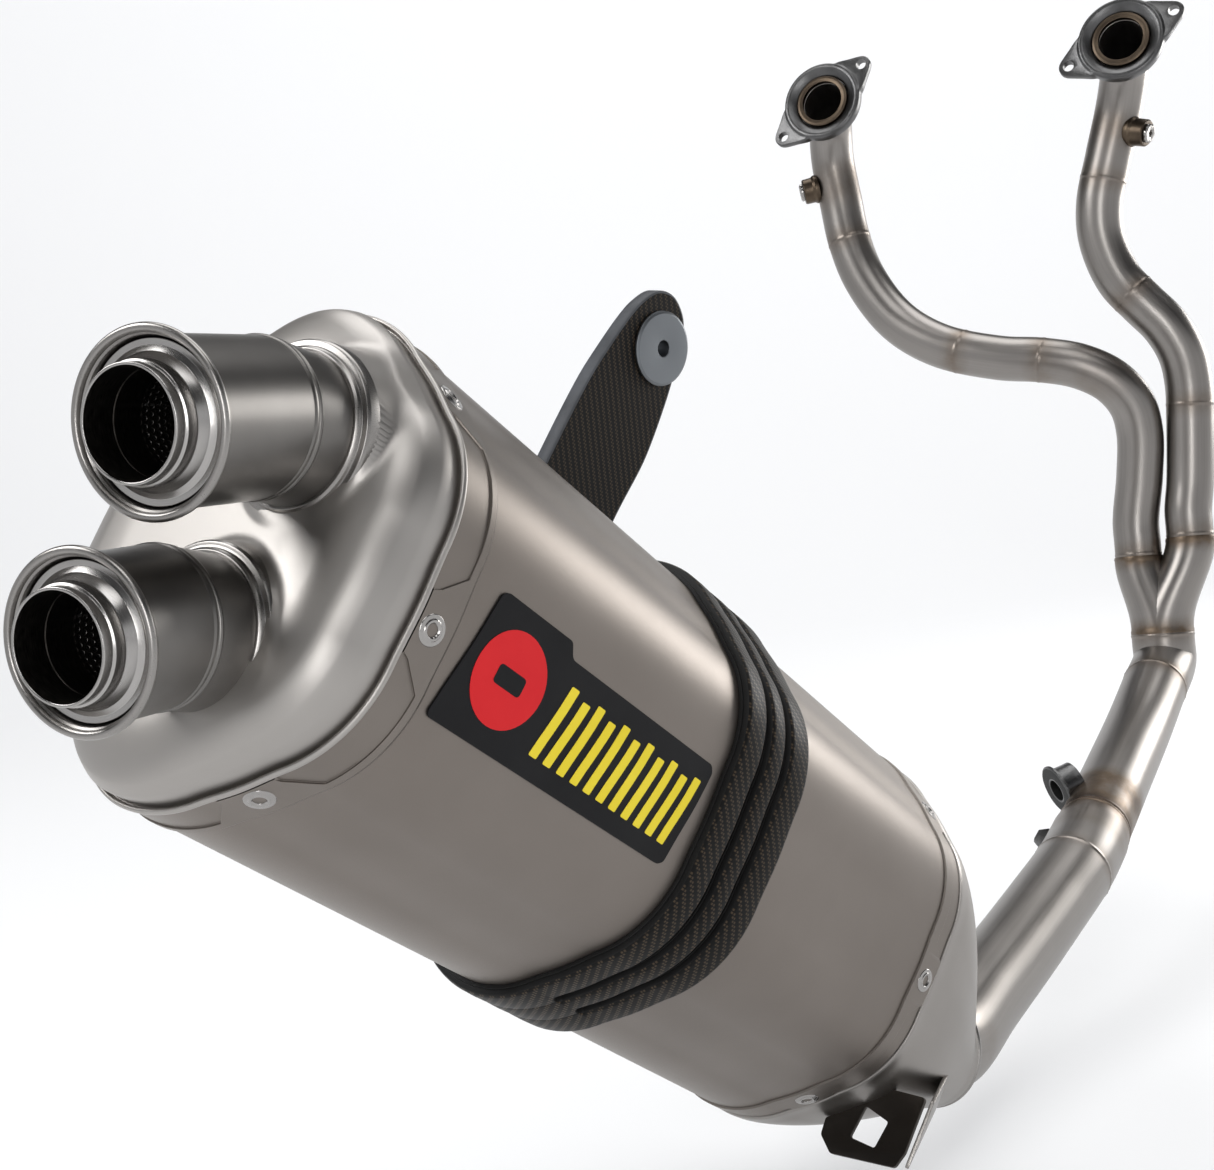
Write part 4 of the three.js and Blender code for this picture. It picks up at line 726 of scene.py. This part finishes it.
if ((O - O.mean(0)) * on).sum() < 0: on = -on
def arm_ring(inset, x): q = O - on * inset; return np.stack([np.full(len(q), x), q[:, 0], q[:, 1]], 1)
ang = np.arctan2(O[:, 1] - BZ, O[:, 0] - BY)
def hole_ring(r, x): return np.stack([np.full(len(O), x), BY + r * np.cos(ang), BZ + r * np.sin(ang)], 1)
x1, x0 = armX, armX - armT
rows = [hole_ring(14.9, x1), arm_ring(2.0, x1), arm_ring(1.5, x1), arm_ring(0.5, x1 - 0.35), arm_ring(0.0, x1 - 1.2), arm_ring(0.0, x0 + 1.2), arm_ring(0.5, x0 + 0.35), arm_ring(1.5, x0), arm_ring(2.0, x0), hole_ring(14.9, x0)]
R = np.array(rows)
co = np.concatenate([np.stack([(r[:, 1] + r[:, 2] * 0.0), r[:, 2], r[:, 0]], 1) for r in R])
fm = np.repeat([0, 0, 1, 1, 1, 1, 1, 0, 0, 1], len(O))
shell("arm_skin", R, "muffler", [M_CARBON, M_EDGE], ["hanger_arm"], co=co, angle=32, fmat=fm)
XA = np.array([1.0, 0, 0])
lathe("bush_skin", [(4.6, -0.3, 0.2), (5.0, 0.0, 0.3), (19.4, 0.0, 0.5), (20.9, -0.9, 0.4), (21.0, -2.2, 0.2), (14.7, -2.4), (14.7, -14.4), (4.6, -14.4)], [armX + 2.8, BY, BZ], XA, "muffler", M_ALLOY, ["hanger_bush"], seg=96)
lathe("bush_back_skin", [(4.6, 0), (21.0, 0, 0.3), (21.0, -1.4, 0.3), (19.6, -2.4, 0.4), (4.6, -2.4, 0.2)], [armX - 12.2, BY, BZ], XA, "muffler", M_ALLOY, ["hanger_bush_flange"], seg=96)
for i, (y_, z_) in enumerate([(224, 26), (252, 26), (224, -24), (252, -24)]):
    pr = [(0.02, 2.6), (2.4, 2.6, 0.2), (2.6, 0.3, 0.3), (3.6, 0.0, 0.5), (4.7, 0.9, 0.8), (5.0, 3.0, 0.3), (5.0, 5.0, 0.2), (2.9, 5.0), (2.9, armT + 7.0), (0.02, armT + 7.0)]
    lathe(f"clamp_bolt_skin_{i+1}", pr, [armX - armT - 5.4, y_, z_], XA, "muffler", M_FAST, [f"clamp_bolt_{i+1}"], seg=36)

# label ----------------------------------------------------------------------
order = np.argsort(h0p[:, 1]); right = h0p[:, 0] > 0
def surf_x(z):
    m = right
    zz, xx = h0p[m, 1], h0p[m, 0]; i = np.argsort(zz)
    return np.interp(z, zz[i], xx[i])
def decal(name, poly, o0, o1, mat, rep=(), rad=2.0, cell=4.0):
    """thin plate with the outline poly (y', z') lying on the outboard panel"""
    P = rounded([(p[0], p[1], p[2] if len(p) > 2 else rad) for p in poly], 5)
    me = bmesh.new()
    vs = [me.verts.new((p[0], p[1], 0)) for p in P]
    f = me.faces.new(vs)
    bmesh.ops.triangulate(me, faces=[f])
    zmin, zmax = P[:, 1].min(), P[:, 1].max()
    for zc in np.arange(math.ceil(zmin / cell) * cell, zmax, cell):
        g = list(me.verts) + list(me.edges) + list(me.faces)
        bmesh.ops.bisect_plane(me, geom=g, plane_co=(0, zc, 0), plane_no=(0, 1, 0), dist=1e-4)
    me.verts.ensure_lookup_table(); me.faces.ensure_lookup_table()
    V2 = np.array([v.co[:2] for v in me.verts]); F2 = [[v.index for v in f.verts] for f in me.faces]
    me.verts.index_update()
    F2 = [[v.index for v in f.verts] for f in me.faces]
    edges = [[v.index for v in e.verts] for e in me.edges if len(e.link_faces) == 1]
    me.free()
    n = len(V2)
    top = np.stack([surf_x(V2[:, 1]) + o1, V2[:, 0], V2[:, 1]], 1); bot = np.stack([surf_x(V2[:, 1]) + o0, V2[:, 0], V2[:, 1]], 1)
    F = F2 + [[v + n for v in f][::-1] for f in F2] + [[a, b, b + n, a + n] for a, b in edges]
    return add(name, W(np.vstack([top, bot])), F, "muffler", mat, rep, np.vstack([top, bot]), angle=30)
decal("label_skin", [(43, -32, 4), (194, -31, 3), (197, -29, 3), (202, 15.5, 3), (199.5, 18.5, 3), (96, 18.5, 4), (92, 24.5, 3), (51, 24.5, 4), (48.5, 22.5, 3), (41.5, -30, 3)], 0.25, 1.0, M_LABEL, ["label_plate"])
# generic graphic: a red lozenge with a bar cut out of it, and a row of yellow slanted bars
disc = [(70 + 19.5 * math.cos(t), -3.5 + 19.5 * math.sin(t), 0) for t in np.linspace(0, PI2, 48, endpoint=False)]
decal("label_mark", disc, 1.05, 1.22, M_RED, rad=0)
decal("label_mark_core", [(62, -7.5, 2), (78, -7.5, 2), (78, 0.5, 2), (62, 0.5, 2)], 1.2, 1.32, M_LABEL)
for i in range(11):
    a = 96.5 + i * 9.0
    hgt = 9.5 if i % 2 == 0 else 7.0
    decal(f"label_bar_{i+1}", [(a, -23, 0.8), (a + 4.8, -23, 0.8), (a + 4.8 + 5.4, hgt, 0.8), (a + 5.4, hgt, 0.8)], 1.05, 1.22, M_YEL, rad=0.8, cell=8)

# lower bracket and gusset ---------------------------------------------------
def plate_piece(name, outline, holes, t, origin, u, v, body, mats, rep, bev=0.35, muf=True, cutter=None):
    """bevelled flat plate from an outline in (u, v); thickness t along u x v"""
    w = np.cross(u, v)
    bm = bmesh.new()
    def loop(pts): return [bm.verts.new(tuple(origin + u * p[0] + v * p[1])) for p in pts]
    vs = loop(outline); es = [bm.edges.new((vs[i], vs[(i + 1) % len(vs)])) for i in range(len(vs))]
    for h in holes:
        hv = loop(h); es += [bm.edges.new((hv[i], hv[(i + 1) % len(hv)])) for i in range(len(hv))]
    bmesh.ops.triangle_fill(bm, use_beauty=True, use_dissolve=True, edges=es)
    fs = list(bm.faces)
    r = bmesh.ops.extrude_face_region(bm, geom=fs)
    mv = [g for g in r["geom"] if isinstance(g, bmesh.types.BMVert)]
    bmesh.ops.translate(bm, verts=mv, vec=Vector(w * t))
    bmesh.ops.recalc_face_normals(bm, faces=bm.faces)
    be = [e for e in bm.edges if len(e.link_faces) == 2 and e.calc_face_angle(0) > 0.8]
    if bev: bmesh.ops.bevel(bm, geom=be, offset=bev, segments=2, affect="EDGES", profile=0.6)
    bm.verts.index_update()
    V = np.array([tuple(q.co) for q in bm.verts]); F = [[q.index for q in f.verts] for f in bm.faces]
    bm.free()
    co = V.copy()
    return add(name, W(V) if muf else V, F, body, mats, rep, co, angle=30)
ux, uz = np.array([1.0, 0, 0]), np.array([0, 0, 1.0])
tab = rounded([(50, -88, 2), (78, -61, 3), (101, -58, 2), (101.5, -88, 2), (99, -97, 3), (60.5, -104, 3), (51, -97, 3)], 4)
win = rounded([(70, -74, 1.5), (68, -92, 1.5), (84, -92, 1.5), (86, -77, 1.5)], 3)
plate_piece("bracket_skin", tab, [win], 2.5, np.array([0, 459.0, 0]), ux, uz, "muffler", M_DARKBR, ["lower_bracket"])
gu = unit([-0.447, 0.894, 0])
gus = rounded([(0.5, -58, 1.5), (0.5, -96, 2), (18, -82, 4), (44, -58, 6), (45, -34, 2), (30, -40, 6)], 4)
plate_piece("gusset_skin", gus, [], 2.0, np.array([101.2, 462.4, 0]), gu, uz, "muffler", M_CAPIN, ["bracket_gusset"])

# ------------------------------------------------------------------ header side
slipC = W([SLIP_C])[0]; slipA = unit(WD(SLIP_AXIS))
colOut = np.array([165.4, 600, -259]); colDown = unit([0, -0.12, -1])
seam = np.array([143, 342.5, -363])
run = Path([slipC + slipA * -34, slipC + slipA * -20, slipC + slipA * -8, slipC + slipA * 3, [102.4, 62, -418.6], [108.4, 114.2, -411.3], [118, 174.5, -401], [128.5, 235, -388.5], [138.5, 290, -375.5], seam,
            [148, 420, -343.5], [154, 500, -321.5], [160, 555, -300], colOut + colDown * 22, colOut + colDown * 10, colOut - colDown * 0.6])
s_seam = run.nearest(seam)
sC = run.nearest(colOut + colDown * 22)
def link_r(s):
    return 27.0 - 1.35 * np.clip((s - (s_seam - 13)) / 11, 0, 1)
pipe("link_skin", run, 0.0, s_seam - 0.3, link_r, "header", M_TUBE, ["link_pipe"], seg=72, welds=(s_seam - 1.6, s_seam - 62), heat=((s_seam - 2, 16, 0.9), (s_seam - 30, 10, 0.35), (s_seam - 62, 8, 0.35), (60, 14, 0.25)))
pipe("mid_skin", run, s_seam + 0.3, run.L, 25.4, "header", M_TUBE, ["mid_pipe"], seg=72, welds=(s_seam + 2.0, run.nearest([160, 555, -300]) + 6, run.L - 2.2),
     heat=((s_seam, 15, 1.6), (s_seam + 34, 14, 1.3), (run.nearest([160, 555, -300]) + 6, 10, 0.6), (run.L, 10, 0.5)))

legL, legR = np.array([150.0, 612, -194]), np.array([192.8, 615, -181])
def leg(a, sgn):
    rows_, tn, cz = [], [], []
    th = np.arange(56) * PI2 / 56
    x, y, z = frame_of(colDown)
    for t in np.linspace(0, 1, 40):
        s = t * t * (3 - 2 * t)
        c = np.array([a[0] + (colOut[0] - a[0]) * s, a[1] + (colOut[1] - a[1]) * t, a[2] + (colOut[2] - a[2]) * t])
        r = 19.6 + (25.4 - 19.6) * t
        L = abs(colOut[2] - a[2]) * t; Lall = abs(colOut[2] - a[2])
        rr = r + 0.55 * np.exp(-((L - 1.5) / 1.3) ** 2) * (0.8 + 0.3 * np.sin(th * 30)) + 0.55 * np.exp(-((Lall - L - 1.2) / 1.3) ** 2) * (0.8 + 0.3 * np.sin(th * 30))
        rows_.append(c + rr[:, None] * (np.cos(th)[:, None] * x + np.sin(th)[:, None] * z))
        tn.append(min(1, 0.7 * math.exp(-(L / 9) ** 2) + 0.6 * math.exp(-((Lall - L) / 10) ** 2))); cz.append(L)
    return rows_, tn, cz, th
Vs, Fs, cos_, tns, base = [], [], [], [], 0
for a, sg in ((legL, -1), (legR, 1)):
    rows_, tn, cz, th = leg(a, sg)
    inner = [r_ + (np.mean(r_, 0) - r_) * (1.3 / 20.0) for r_ in (rows_[0], rows_[2])]
    rows_ = [inner[1], inner[0]] + rows_; tn = [tn[0], tn[0]] + tn; cz = [cz[2], cz[0]] + cz
    K, N = len(rows_), 56
    Vs.append(np.vstack(rows_)); Fs.append(faces(K, N, False, True, base)); base += K * N
    cos_.append(np.stack([np.tile(np.cos(th) * 10, K), np.tile(np.sin(th) * 10, K), np.repeat(cz, N)], 1)); tns.append(np.repeat(tn, N))
add("collector_skin", np.vstack(Vs), np.vstack(Fs), "header", M_TUBE, ["collector"], np.vstack(cos_), np.concatenate(tns), angle=50)

PA = unit([0, 0.966, -0.259])
PORT = {"left": np.array([-72.9, 575, 229.8]), "right": np.array([180.7, 575, 228.9])}
pathL = Path([PORT["left"] + PA * 7.5, PORT["left"] + PA * 14, PORT["left"] + PA * 22, [-79, 612, 208], [-83, 622, 183], [-80, 623, 148], [-75, 620, 111], [-63, 616, 74], [-36, 610, 33], [1, 604, 6], [53, 600, -12], [88, 600, -18.5], [119, 602, -28], [143, 608, -44], [156.4, 614, -65], [160, 617, -89], [156.5, 617.5, -125], legL + colDown * -30, legL + colDown * -12, legL + colDown * 0.8])
pathR = Path([PORT["right"] + PA * 7.5, PORT["right"] + PA * 14, PORT["right"] + PA * 22, [176, 613, 208], [168, 623, 183], [155, 624, 143], [144.5, 622, 106], [144, 621, 76], [155, 620, 41], [171, 620, 19], [188, 622, -3], [198.5, 625, -27], [201.5, 627, -52], [200, 626, -85], [196, 622, -135], legR + colDown * -22, legR + colDown * -10, legR + colDown * 0.8])
def nz(path, pts): return [path.nearest(p) for p in pts]
wl = nz(pathL, [[-75, 620, 111], [20, 602, 0], [88, 600, -18.5]]) + [pathL.L - 2.5]
wr = nz(pathR, [[150, 623, 125], [165, 620, 27], [200, 626, -70]]) + [pathR.L - 2.5]
pipe("primary_left_skin", pathL, 0.0, pathL.L, 19.05, "header", M_TUBE, ["primary_left"], welds=wl, bead=0.38, inner=24,
     heat=[(w, 11, 0.55) for w in wl] + [(pathL.nearest([-82, 622, 163]), 22, 0.55), (14, 16, 0.35), (pathL.nearest([130, 604, -35]), 30, 0.3)])
pipe("primary_right_skin", pathR, 0.0, pathR.L, 19.05, "header", M_TUBE, ["primary_right"], welds=wr, bead=0.38, inner=24,
     heat=[(w, 11, 0.5) for w in wr] + [(pathR.nearest([161, 624, 165]), 20, 0.5), (14, 16, 0.3)])

# port ferrules and loose flanges
for nm, tilt in (("left", 0.62), ("right", 0.33)):
    c = PORT[nm]
    fer = [(17.6, 1.8, 0.3), (20.5, 1.5, 0.5), (22.5, 1.9, 0.4), (22.5, 5.4, 0.3), (21.7, 6.6, 0.4), (21.7, 10.6, 0.3), (25.2, 11.2, 1.2), (26.0, 13.4, 1.6), (23.6, 18.0, 3.0), (20.3, 24.5, 1.5), (19.3, 25.6), (19.3, 7.0), (17.6, 4.6)]
    lathe(f"ferrule_skin_{nm}", fer, c, PA, "header", [M_FERR, M_CAST], [f"port_ferrule_{nm}"], seg=72, muf=False, matf=lambda r, d: 0 if d < 9 else 1)
    x, y, z = frame_of(PA)
    u = np.array([1.0, 0, 0]); w = unit(np.cross(u, PA))
    ca, sa = math.cos(tilt), math.sin(tilt)
    N_ = 288; th = np.arange(N_) * PI2 / N_
    dirx = np.cos(th); dirw = np.sin(th)
    def outline(th):
        # body disc and two ears joined by straight tangents
        out = np.full(len(th), 34.0)
        for t in np.linspace(0, 1, 61):
            cx, er = 44.5 - 20.5 * t, 8.0 + 11.0 * t
            q = er ** 2 - (cx * np.sin(th)) ** 2
            out = np.where(q >= 0, np.maximum(out, cx * np.abs(np.cos(th)) + np.sqrt(np.maximum(q, 0))), out)
        k = np.array([1, 2, 3, 2, 1.0]); k /= k.sum()
        return sum(kk * np.roll(out, i - 2) for i, kk in enumerate(k))
    ro = outline(th)
    def fring(r, d):
        X, Y = r * np.cos(th), r * np.sin(th)
        a, b = X * ca - Y * sa, X * sa + Y * ca
        return c + a[:, None] * u + b[:, None] * w + np.asarray(d)[..., None] * PA if np.ndim(d) else c + a[:, None] * u + b[:, None] * w + d * PA
    one = np.ones(N_)
    ear = np.clip((ro - 34.6) / 6.0, 0, 1)                # 1 on the ears
    thick = 10.0 - 1.2 * ear
    rows_ = [fring(23.3 * one, 7.4), fring(23.3 * one, 4.0), fring(23.9 * one, 3.2), fring(28.0 * one, 1.3), fring(29.6 * one, 0.35), fring(30.6 * one, 0.0),
             fring(np.minimum(ro - 1.6, 32.4), 0.0), fring(np.minimum(ro - 1.2, 33.2) * 1.0, 0.25 + 0 * ear), fring(np.minimum(ro - 1.1, 34.0) + 0.4 * ear, 0.5 + 0.9 * ear), fring(np.minimum(ro - 1.1, 35.0), 0.6 + 1.1 * ear), fring(ro - 0.9, 0.7 + 1.1 * ear), fring(ro - 0.3, 1.2 + 1.1 * ear), fring(ro, 2.2 + 0.8 * ear),
             fring(ro, thick - 1.6), fring(ro - 0.4, thick - 0.5), fring(ro - 1.4, thick), fring(27.5 * one, 10.0), fring(22.4 * one, 10.0), fring(22.4 * one, 7.5)]
    V = np.vstack(rows_)
    ob = add(f"flange_skin_{nm}", V, faces(len(rows_), N_, True, True), f"flange_{nm}", M_CAST, [f"port_flange_{nm}"], angle=34)
    # stud holes through the ears
    for sx_ in (-1, 1):
        a, b = sx_ * 44.5 * ca, sx_ * 44.5 * sa
        hc = c + a * u + b * w
        seg = 28; tt = np.arange(seg) * PI2 / seg
        ringA = hc + 4.4 * (np.cos(tt)[:, None] * u + np.sin(tt)[:, None] * w) - 4 * PA; ringB = ringA + 18 * PA
        me = bpy.data.meshes.new("cut"); me.from_pydata((np.vstack([ringA, ringB]) * MM).tolist(), [], [list(range(seg))[::-1], list(range(seg, 2 * seg))] + [[i, (i + 1) % seg, seg + (i + 1) % seg, seg + i] for i in range(seg)])
        bmm = bmesh.new(); bmm.from_mesh(me); bmesh.ops.recalc_face_normals(bmm, faces=bmm.faces); bmm.to_mesh(me); bmm.free()
        cutter = bpy.data.objects.new("cut", me); bpy.context.scene.collection.objects.link(cutter)
        md = ob.modifiers.new("b", "BOOLEAN"); md.operation = "DIFFERENCE"; md.object = cutter; md.solver = "EXACT"
        dg = bpy.context.evaluated_depsgraph_get()
        new = bpy.data.meshes.new_from_object(ob.evaluated_get(dg))
        ob.modifiers.clear(); old = ob.data; ob.data = new
        bpy.data.objects.remove(cutter); bpy.data.meshes.remove(me)
    ob.data.polygons.foreach_set("use_smooth", np.ones(len(ob.data.polygons), dtype=bool))
    ob.data.set_sharp_from_angle(angle=math.radians(34))

# lambda bosses and plugs
for nm, at, dr, h1 in (("left", [-82, 622, 163], [-0.93, -0.35, -0.12], 19.05 + 11), ("right", [161, 624, 165], [0.93, -0.35, -0.31], 19.05 + 13)):
    d = unit(dr)
    lathe(f"boss_skin_{nm}", [(6.2, 16.0), (12.4, 16.0, 0.2), (12.6, 19.6, 1.2), (11.2, 21.6, 1.2), (11.0, h1 - 1, 0.6), (10.2, h1, 0.5), (6.6, h1, 0.3), (6.2, h1 - 0.6, 0.2)], at, d, "header", M_FERR, [f"lambda_boss_{nm}"], seg=48, muf=False)
    hexw = lambda th, dd: np.where(dd > h1 + 0.25, -0.9 * (1 - np.abs(np.cos(3 * th))), 0)
    lathe(f"plug_skin_{nm}", [(0.02, h1 + 0.7), (2.8, h1 + 0.7, 0.2), (3.2, h1 + 3.0, 0.2), (6.6, h1 + 3.2, 0.4), (8.0, h1 + 2.4, 0.4), (8.0, h1 + 0.35, 0.2), (5.9, h1 + 0.3), (5.9, h1 - 6.5), (0.02, h1 - 6.5)], at, d, "header", M_FAST, [f"lambda_plug_{nm}"], seg=48, muf=False, wob=hexw)

# mounting eye and stay
eC, eA = np.array([120.6, 373.3, -337.5]), unit([0.75, 0.6, 0.28])
lathe("eye_skin", [(8.0, -8.8, 0.4), (9.5, -9.0, 0.3), (17.8, -9.0, 0.6), (19.0, -8.2, 0.6), (19.0, -6.7, 0.4), (15.6, -6.0, 1.2), (15.0, 4.0, 0.6), (15.0, 8.0), (8.0, 8.0)], eC, eA, "header", [M_CAST, M_RUBBER], ["mid_mount_eye"], seg=72, muf=False,
      matf=lambda r, d: 1 if (r < 14 and d < -8.0 and r > 9) or r < 8.2 else 0)
tu, tv = unit([0.083, 0.969, 0.231]), unit([-0.966, 0.021, 0.257])
torig = np.array([141, 316, -369.4]) - 1.5 * np.array([0.242, -0.242, 0.94])
plate_piece("link_tab_skin", rounded([(-15, 27.7, 1), (12, 27.7, 1), (6, 34.5, 2), (-7, 34.5, 2)], 4), [], 3.0, torig, tu, tv, "header", M_CAST, ["link_tab"], muf=False)

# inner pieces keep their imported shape
for n_, m_ in (("slip_seal", M_GRAPH), ("perforated_core", M_TUBE), ("baffle_plate", M_CAP), ("packing_wool", M_WOOL)):
    o = frame["nodes"][n_]; o.data.materials.clear(); o.data.materials.append(m_)

# ------------------------------------------------------------------ stage, camera, light
def stage_mesh(name, V, F, mat):
    me = bpy.data.meshes.new(name); me.from_pydata([tuple(v) for v in V], [], F); me.materials.append(mat)
    me.polygons.foreach_set("use_smooth", np.ones(len(me.polygons), dtype=bool)); me.update()
    o = bpy.data.objects.new(name, me); bpy.context.scene.collection.objects.link(o); return o
def plain(name, c, r=0.9):
    m, nt, bs = material(name, rough=r, metallic=0.0); bs.inputs["Base Color"].default_value = (*c, 1); bs.inputs["Specular IOR Level"].default_value = 0.1; return m
M_FLOOR = plain("paper", (0.42, 0.42, 0.42))
pb = M_FLOOR.node_tree.nodes["Principled BSDF"]; pb.inputs["Emission Color"].default_value = (0.97, 0.98, 1.0, 1); pb.inputs["Emission Strength"].default_value = 0.55
FZ = -0.475
fw = unit([-0.44333, 0.89336, 0]); rt = np.array([fw[1], -fw[0], 0])
prof = [(-6.0, FZ)] + [(2.6, FZ)] + [(2.6 + 1.4 * math.sin(a), FZ + 1.4 - 1.4 * math.cos(a)) for a in np.linspace(0.05, math.pi / 2, 24)] + [(4.0, 1.62)]
V, F = [], []
for (d, h) in prof:
    for s in (-7.0, 7.0): V.append(tuple(np.array([0.0, 0.0, 0]) + fw * d + rt * s + np.array([0, 0, h])))
for i in range(len(prof) - 1): F.append([2 * i, 2 * i + 1, 2 * i + 3, 2 * i + 2])
stage_mesh("floor", V, F, M_FLOOR)

cam = bpy.data.cameras.new("camera"); co_ = bpy.data.objects.new("camera", cam); bpy.context.scene.collection.objects.link(co_)
cam.sensor_width = 36; cam.sensor_fit = "HORIZONTAL"; cam.lens = 50.41; cam.clip_start = 0.02
rx, up, bk = unit([0.89319, 0.43342, -0.11985]), -unit([-0.07529, -0.11861, -0.99008]), -unit([-0.44333, 0.89336, -0.07331])
co_.matrix_world = Matrix(((rx[0], up[0], bk[0], 0.38548), (rx[1], up[1], bk[1], -0.87955), (rx[2], up[2], bk[2], -0.05778), (0, 0, 0, 1)))
bpy.context.scene.camera = co_

def area(name, pos, target, sx, sy, power, col=(1, 1, 1)):
    l = bpy.data.lights.new(name, "AREA"); l.shape = "RECTANGLE"; l.size = sx; l.size_y = sy; l.energy = power; l.color = col
    o = bpy.data.objects.new(name, l); bpy.context.scene.collection.objects.link(o)
    d = Vector(target) - Vector(pos); o.location = pos; o.rotation_euler = d.to_track_quat("-Z", "Y").to_euler(); return o
area("key_overhead_left", (-1.25, -1.05, 1.30), (0, -0.35, -0.1), 1.0, 1.0, 24)
area("wash_top", (0.2, 1.6, 3.4), (0.0, 2.2, -0.475), 4.5, 2.6, 120)
area("wash_front", (1.2, -1.6, 3.2), (0.2, -0.2, -0.475), 2.0, 2.0, 34)
area("strip_front", (0.95, -2.3, 0.35), (0.1, 0.3, 0.0), 0.45, 1.2, 14)
area("side_right", (1.25, 2.2, 0.25), (0.1, 0.1, -0.1), 1.0, 0.8, 21, (1, 0.985, 0.96))
w = bpy.data.worlds.new("world"); bpy.context.scene.world = w; w.use_nodes = True
wt = w.node_tree; bg = wt.nodes["Background"]
gz = nd(wt, "ShaderNodeSeparateXYZ", {}, {0: nd(wt, "ShaderNodeTexCoord").outputs["Generated"]}).outputs[2]
wt.links.new(mix(wt, rng(wt, gz, 0.22, 0.36, 0, 1, True), (0.90, 0.91, 0.93), (0.035, 0.036, 0.040)), bg.inputs[0])
bg.inputs[1].default_value = 0.85
bpy.context.scene.view_settings.view_transform = "Standard"
